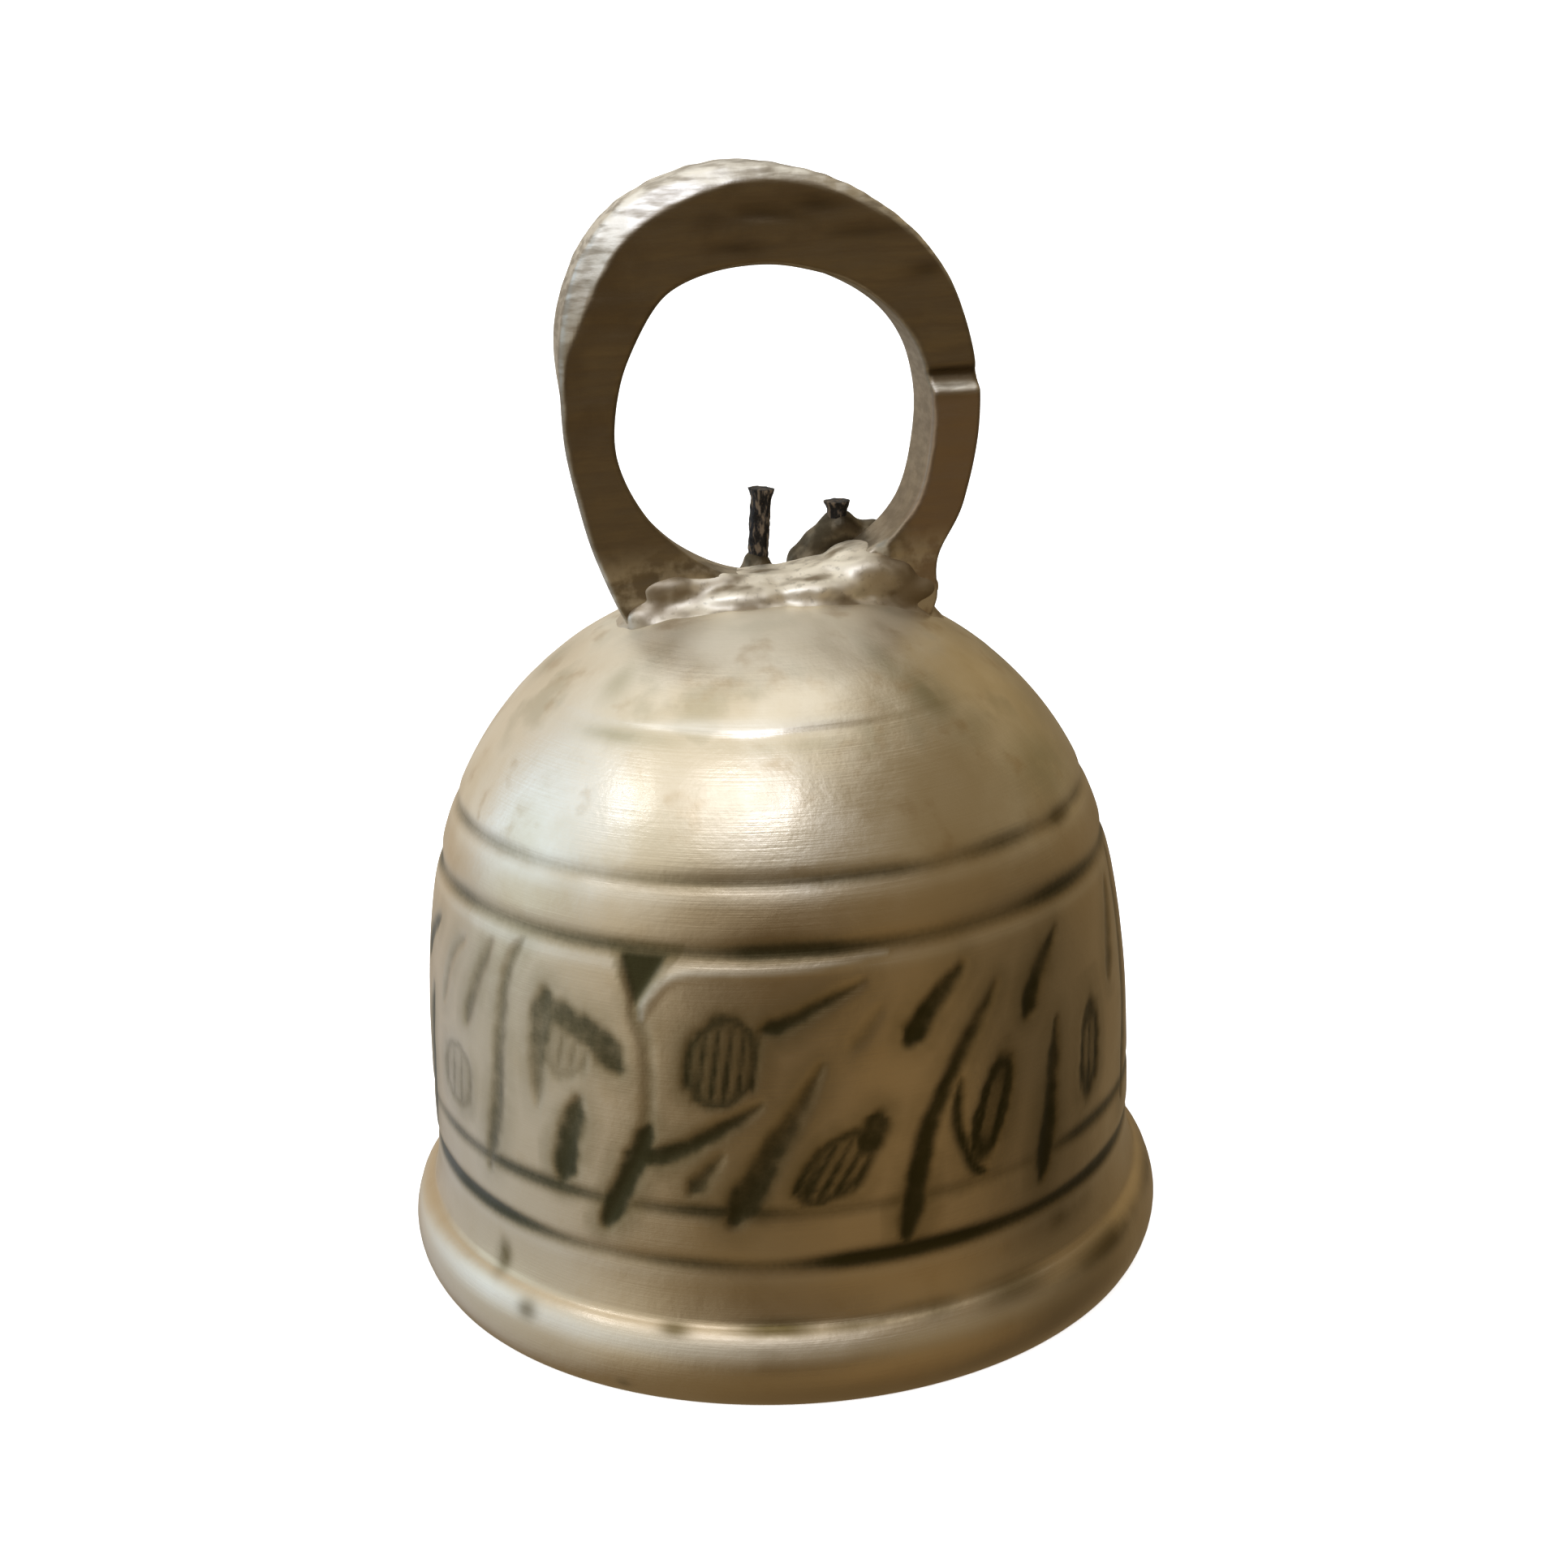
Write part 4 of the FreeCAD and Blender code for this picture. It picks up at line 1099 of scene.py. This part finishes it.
def dress(piece, material):
    """Give a piece its material in place of whatever it had."""
    piece.data.materials.clear()
    piece.data.materials.append(material)


# ---- pieces in place --------------------------------------------------------
# How the lumps run together: voxel size, rounds of smoothing, height of the ripples.
BRAZE_MELT = (0.22, 34, 0.30)
SOLDER_MELT = (0.25, 20, 0.4)


def place_pieces():
    """Build the detailed pieces, ride them on the bell's body and give every piece its finish."""
    new = [
        (make_shell(), "bell_shell", "turned_brass", turned_brass()),
        (make_loop(), "loop_handle", "filed_brass", filed_brass()),
        (make_lumps("braze_fillet", BRAZE_LUMPS, *BRAZE_MELT, braze_fillet()),
         "braze_seam", "braze", braze_brass()),
        (make_lumps("solder_lump", SOLDER_LUMPS, *SOLDER_MELT), "leg_solder", "dark_solder", dark_solder()),
    ]
    for piece, node, slot, material in new:
        dress(piece, material)
        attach(piece, "bell")
        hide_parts(node)
    # Each CAD piece's voxel size, then the size and height of its lumps, in millimetres.
    dress(roughen("clapper_staple", 0.11, 0.5, 0.16), black_iron("black_iron", 0.8))
    dress(roughen("clapper_link", 0.08, 0.6, 0.08), black_iron("rusty_link", 1.0))
    dress(roughen("clapper_rod", 0.11, 0.8, 0.10), black_iron("rusty_rod", 1.0))
    dress(roughen("clapper_ball", 0.18, 1.6, 0.22), cast_brass())


# ---- stage, lights and camera -----------------------------------------------
STAGE_RADIUS = 1.3
STAGE_FLAT = 0.5
STAGE_RIM = 0.9
STAGE_GLOW = 0.62
STAGE_STEPS = 16
STAGE_COLUMNS = 64
BELL_MIDDLE = Vector((0, 0, 0.040))


def make_stage():
    """A plain white floor that rises smoothly into a surround on every side."""
    radii = [0.0001, 0.05, 0.2, STAGE_FLAT]
    heights = [0.0, 0.0, 0.0, 0.0]
    for step in range(1, STAGE_STEPS + 1):
        angle = math.radians(90) * step / STAGE_STEPS
        radii.append(STAGE_FLAT + (STAGE_RADIUS - STAGE_FLAT) * math.sin(angle))
        heights.append(STAGE_RIM * (1 - math.cos(angle)))
    profile = np.column_stack([radii, heights]) / MM
    turn, radius, height = ring_points(profile, STAGE_COLUMNS)
    floor = make_piece("floor", to_xyz(turn, radius, height), grid_faces(len(profile), STAGE_COLUMNS))
    mat = Shader("floor_white", (0.86, 0.86, 0.86))
    mat.paint((0.90, 0.90, 0.90), mat.noise(40, detail=2.0))
    surface = mat.add("BsdfPrincipled", {
        "Base Color": mat.colour, "Roughness": 0.9, "Specular IOR Level": 0.0,
        "Emission Color": (1, 1, 1, 1), "Emission Strength": STAGE_GLOW})
    mat.add("OutputMaterial", {0: surface.outputs[0]})
    dress(floor, mat.material)
    floor.visible_glossy = False
    floor.visible_shadow = False


def softbox(name, azimuth, elevation, distance, width, height, power, colour):
    """A rectangular area light aimed at the bell; azimuth is from the front towards +X."""
    a, e = math.radians(azimuth), math.radians(elevation)
    away = Vector((math.sin(a) * math.cos(e), -math.cos(a) * math.cos(e), math.sin(e)))
    light = bpy.data.lights.new(name, "AREA")
    light.shape = "RECTANGLE"
    light.size, light.size_y = width, height
    light.energy = power
    light.color = colour
    lamp = add_object(name, light)
    lamp.location = BELL_MIDDLE + away * distance
    lamp.rotation_mode = "QUATERNION"
    lamp.rotation_quaternion = away.to_track_quat("Z", "Y")
    lamp.visible_camera = False


ROOM_DARK = (0.27, 0.215, 0.135)
# What the bell sees round it: a direction, where that side begins and is full (as the cosine of
# the angle from the direction), how it is laid over the rest, and its light.
ROOM_SIDES = [
    ((-0.77, 0.26, 0.58), -0.10, 0.85, "MIX", (0.97, 1.00, 1.02)),       # bright wall, left
    ((-0.10, 0.15, 1.00), 0.72, 0.96, "MIX", (1.20, 1.20, 1.20)),        # bright ceiling
    ((-0.30, -0.55, 0.80), 0.86, 0.99, "MIX", (1.02, 1.01, 0.98)),       # light wall above the front
    ((-0.90, 0.43, -0.10), 0.55, 0.97, "MIX", (0.72, 0.81, 0.98)),       # cool daylight, far left
    ((-0.34, 0.92, 0.17), 0.80, 0.95, "MIX", (0.74, 0.67, 0.57)),        # warm wall behind
    ((-0.93, 0.30, 0.21), 0.90, 0.99, "MIX", (1.15, 1.42, 1.80)),        # the window itself
    ((0.84, -0.30, -0.45), 0.72, 0.96, "MULTIPLY", (0.60, 0.62, 0.66)),  # darker corner, low right
    ((0.41, -0.77, -0.50), 0.82, 0.97, "MIX", (0.34, 0.258, 0.150)),     # table in front
    ((0.75, 0.54, 0.37), 0.90, 0.985, "MIX", (0.42, 0.335, 0.20)),       # lit wall, far right
    ((-0.30, -0.94, 0.17), 0.78, 0.96, "MULTIPLY", (0.55, 0.51, 0.46)),  # whoever stands in front
    ((0.45, -0.25, -0.85), 0.60, 0.95, "MULTIPLY", (0.72, 0.70, 0.68)),  # shade under the lip
]


def make_room():
    """The room's light: bright and cool from a window on the left, dim and warm on the right."""
    world = bpy.data.worlds.new("room")
    nodes = Nodes(world)
    direction = nodes.add("TexCoord").outputs["Generated"]
    light = ROOM_DARK
    for side, low, high, blend, colour in ROOM_SIDES:
        facing = nodes.add(
            "VectorMath", {0: direction, 1: Vector(side).normalized()}, operation="DOT_PRODUCT")
        light = nodes.mix(nodes.ramp(facing.outputs["Value"], low, high), light, colour, blend)
    background = nodes.add("Background", {0: light})
    nodes.add("OutputWorld", {0: background.outputs[0]})
    bpy.context.scene.world = world


# Soft lamps: azimuth, elevation, distance, width, height, power, colour.
LAMPS = {
    "key": (-25, 54, 0.75, 0.34, 0.05, 0.66, (0.84, 0.95, 1.32)),
    "left_lamp": (-80, 44, 0.8, 0.12, 0.08, 0.24, (0.84, 0.95, 1.28)),
}


def make_lights():
    """Two soft lamps above the front and the left; the room does the rest."""
    for name, settings in LAMPS.items():
        softbox(name, *settings)
    make_room()


def make_camera():
    """The camera, level with its aim and then rolled a little."""
    data = bpy.data.cameras.new("camera")
    data.lens = CAMERA_LENS
    data.sensor_width = CAMERA_SENSOR
    data.clip_start = 0.005
    data.clip_end = 20
    camera = add_object("camera", data)
    camera.location = CAMERA_PLACE
    look = (Vector(CAMERA_AIM) - Vector(CAMERA_PLACE)).to_track_quat("-Z", "Y")
    roll = Matrix.Rotation(math.radians(-CAMERA_ROLL), 3, "Z").to_quaternion()
    camera.rotation_mode = "QUATERNION"
    camera.rotation_quaternion = look @ roll
    bpy.context.scene.camera = camera


make_camera()
place_pieces()
make_stage()
make_lights()
bpy.context.scene.view_settings.view_transform = "Standard"

bpy.context.view_layer.update()
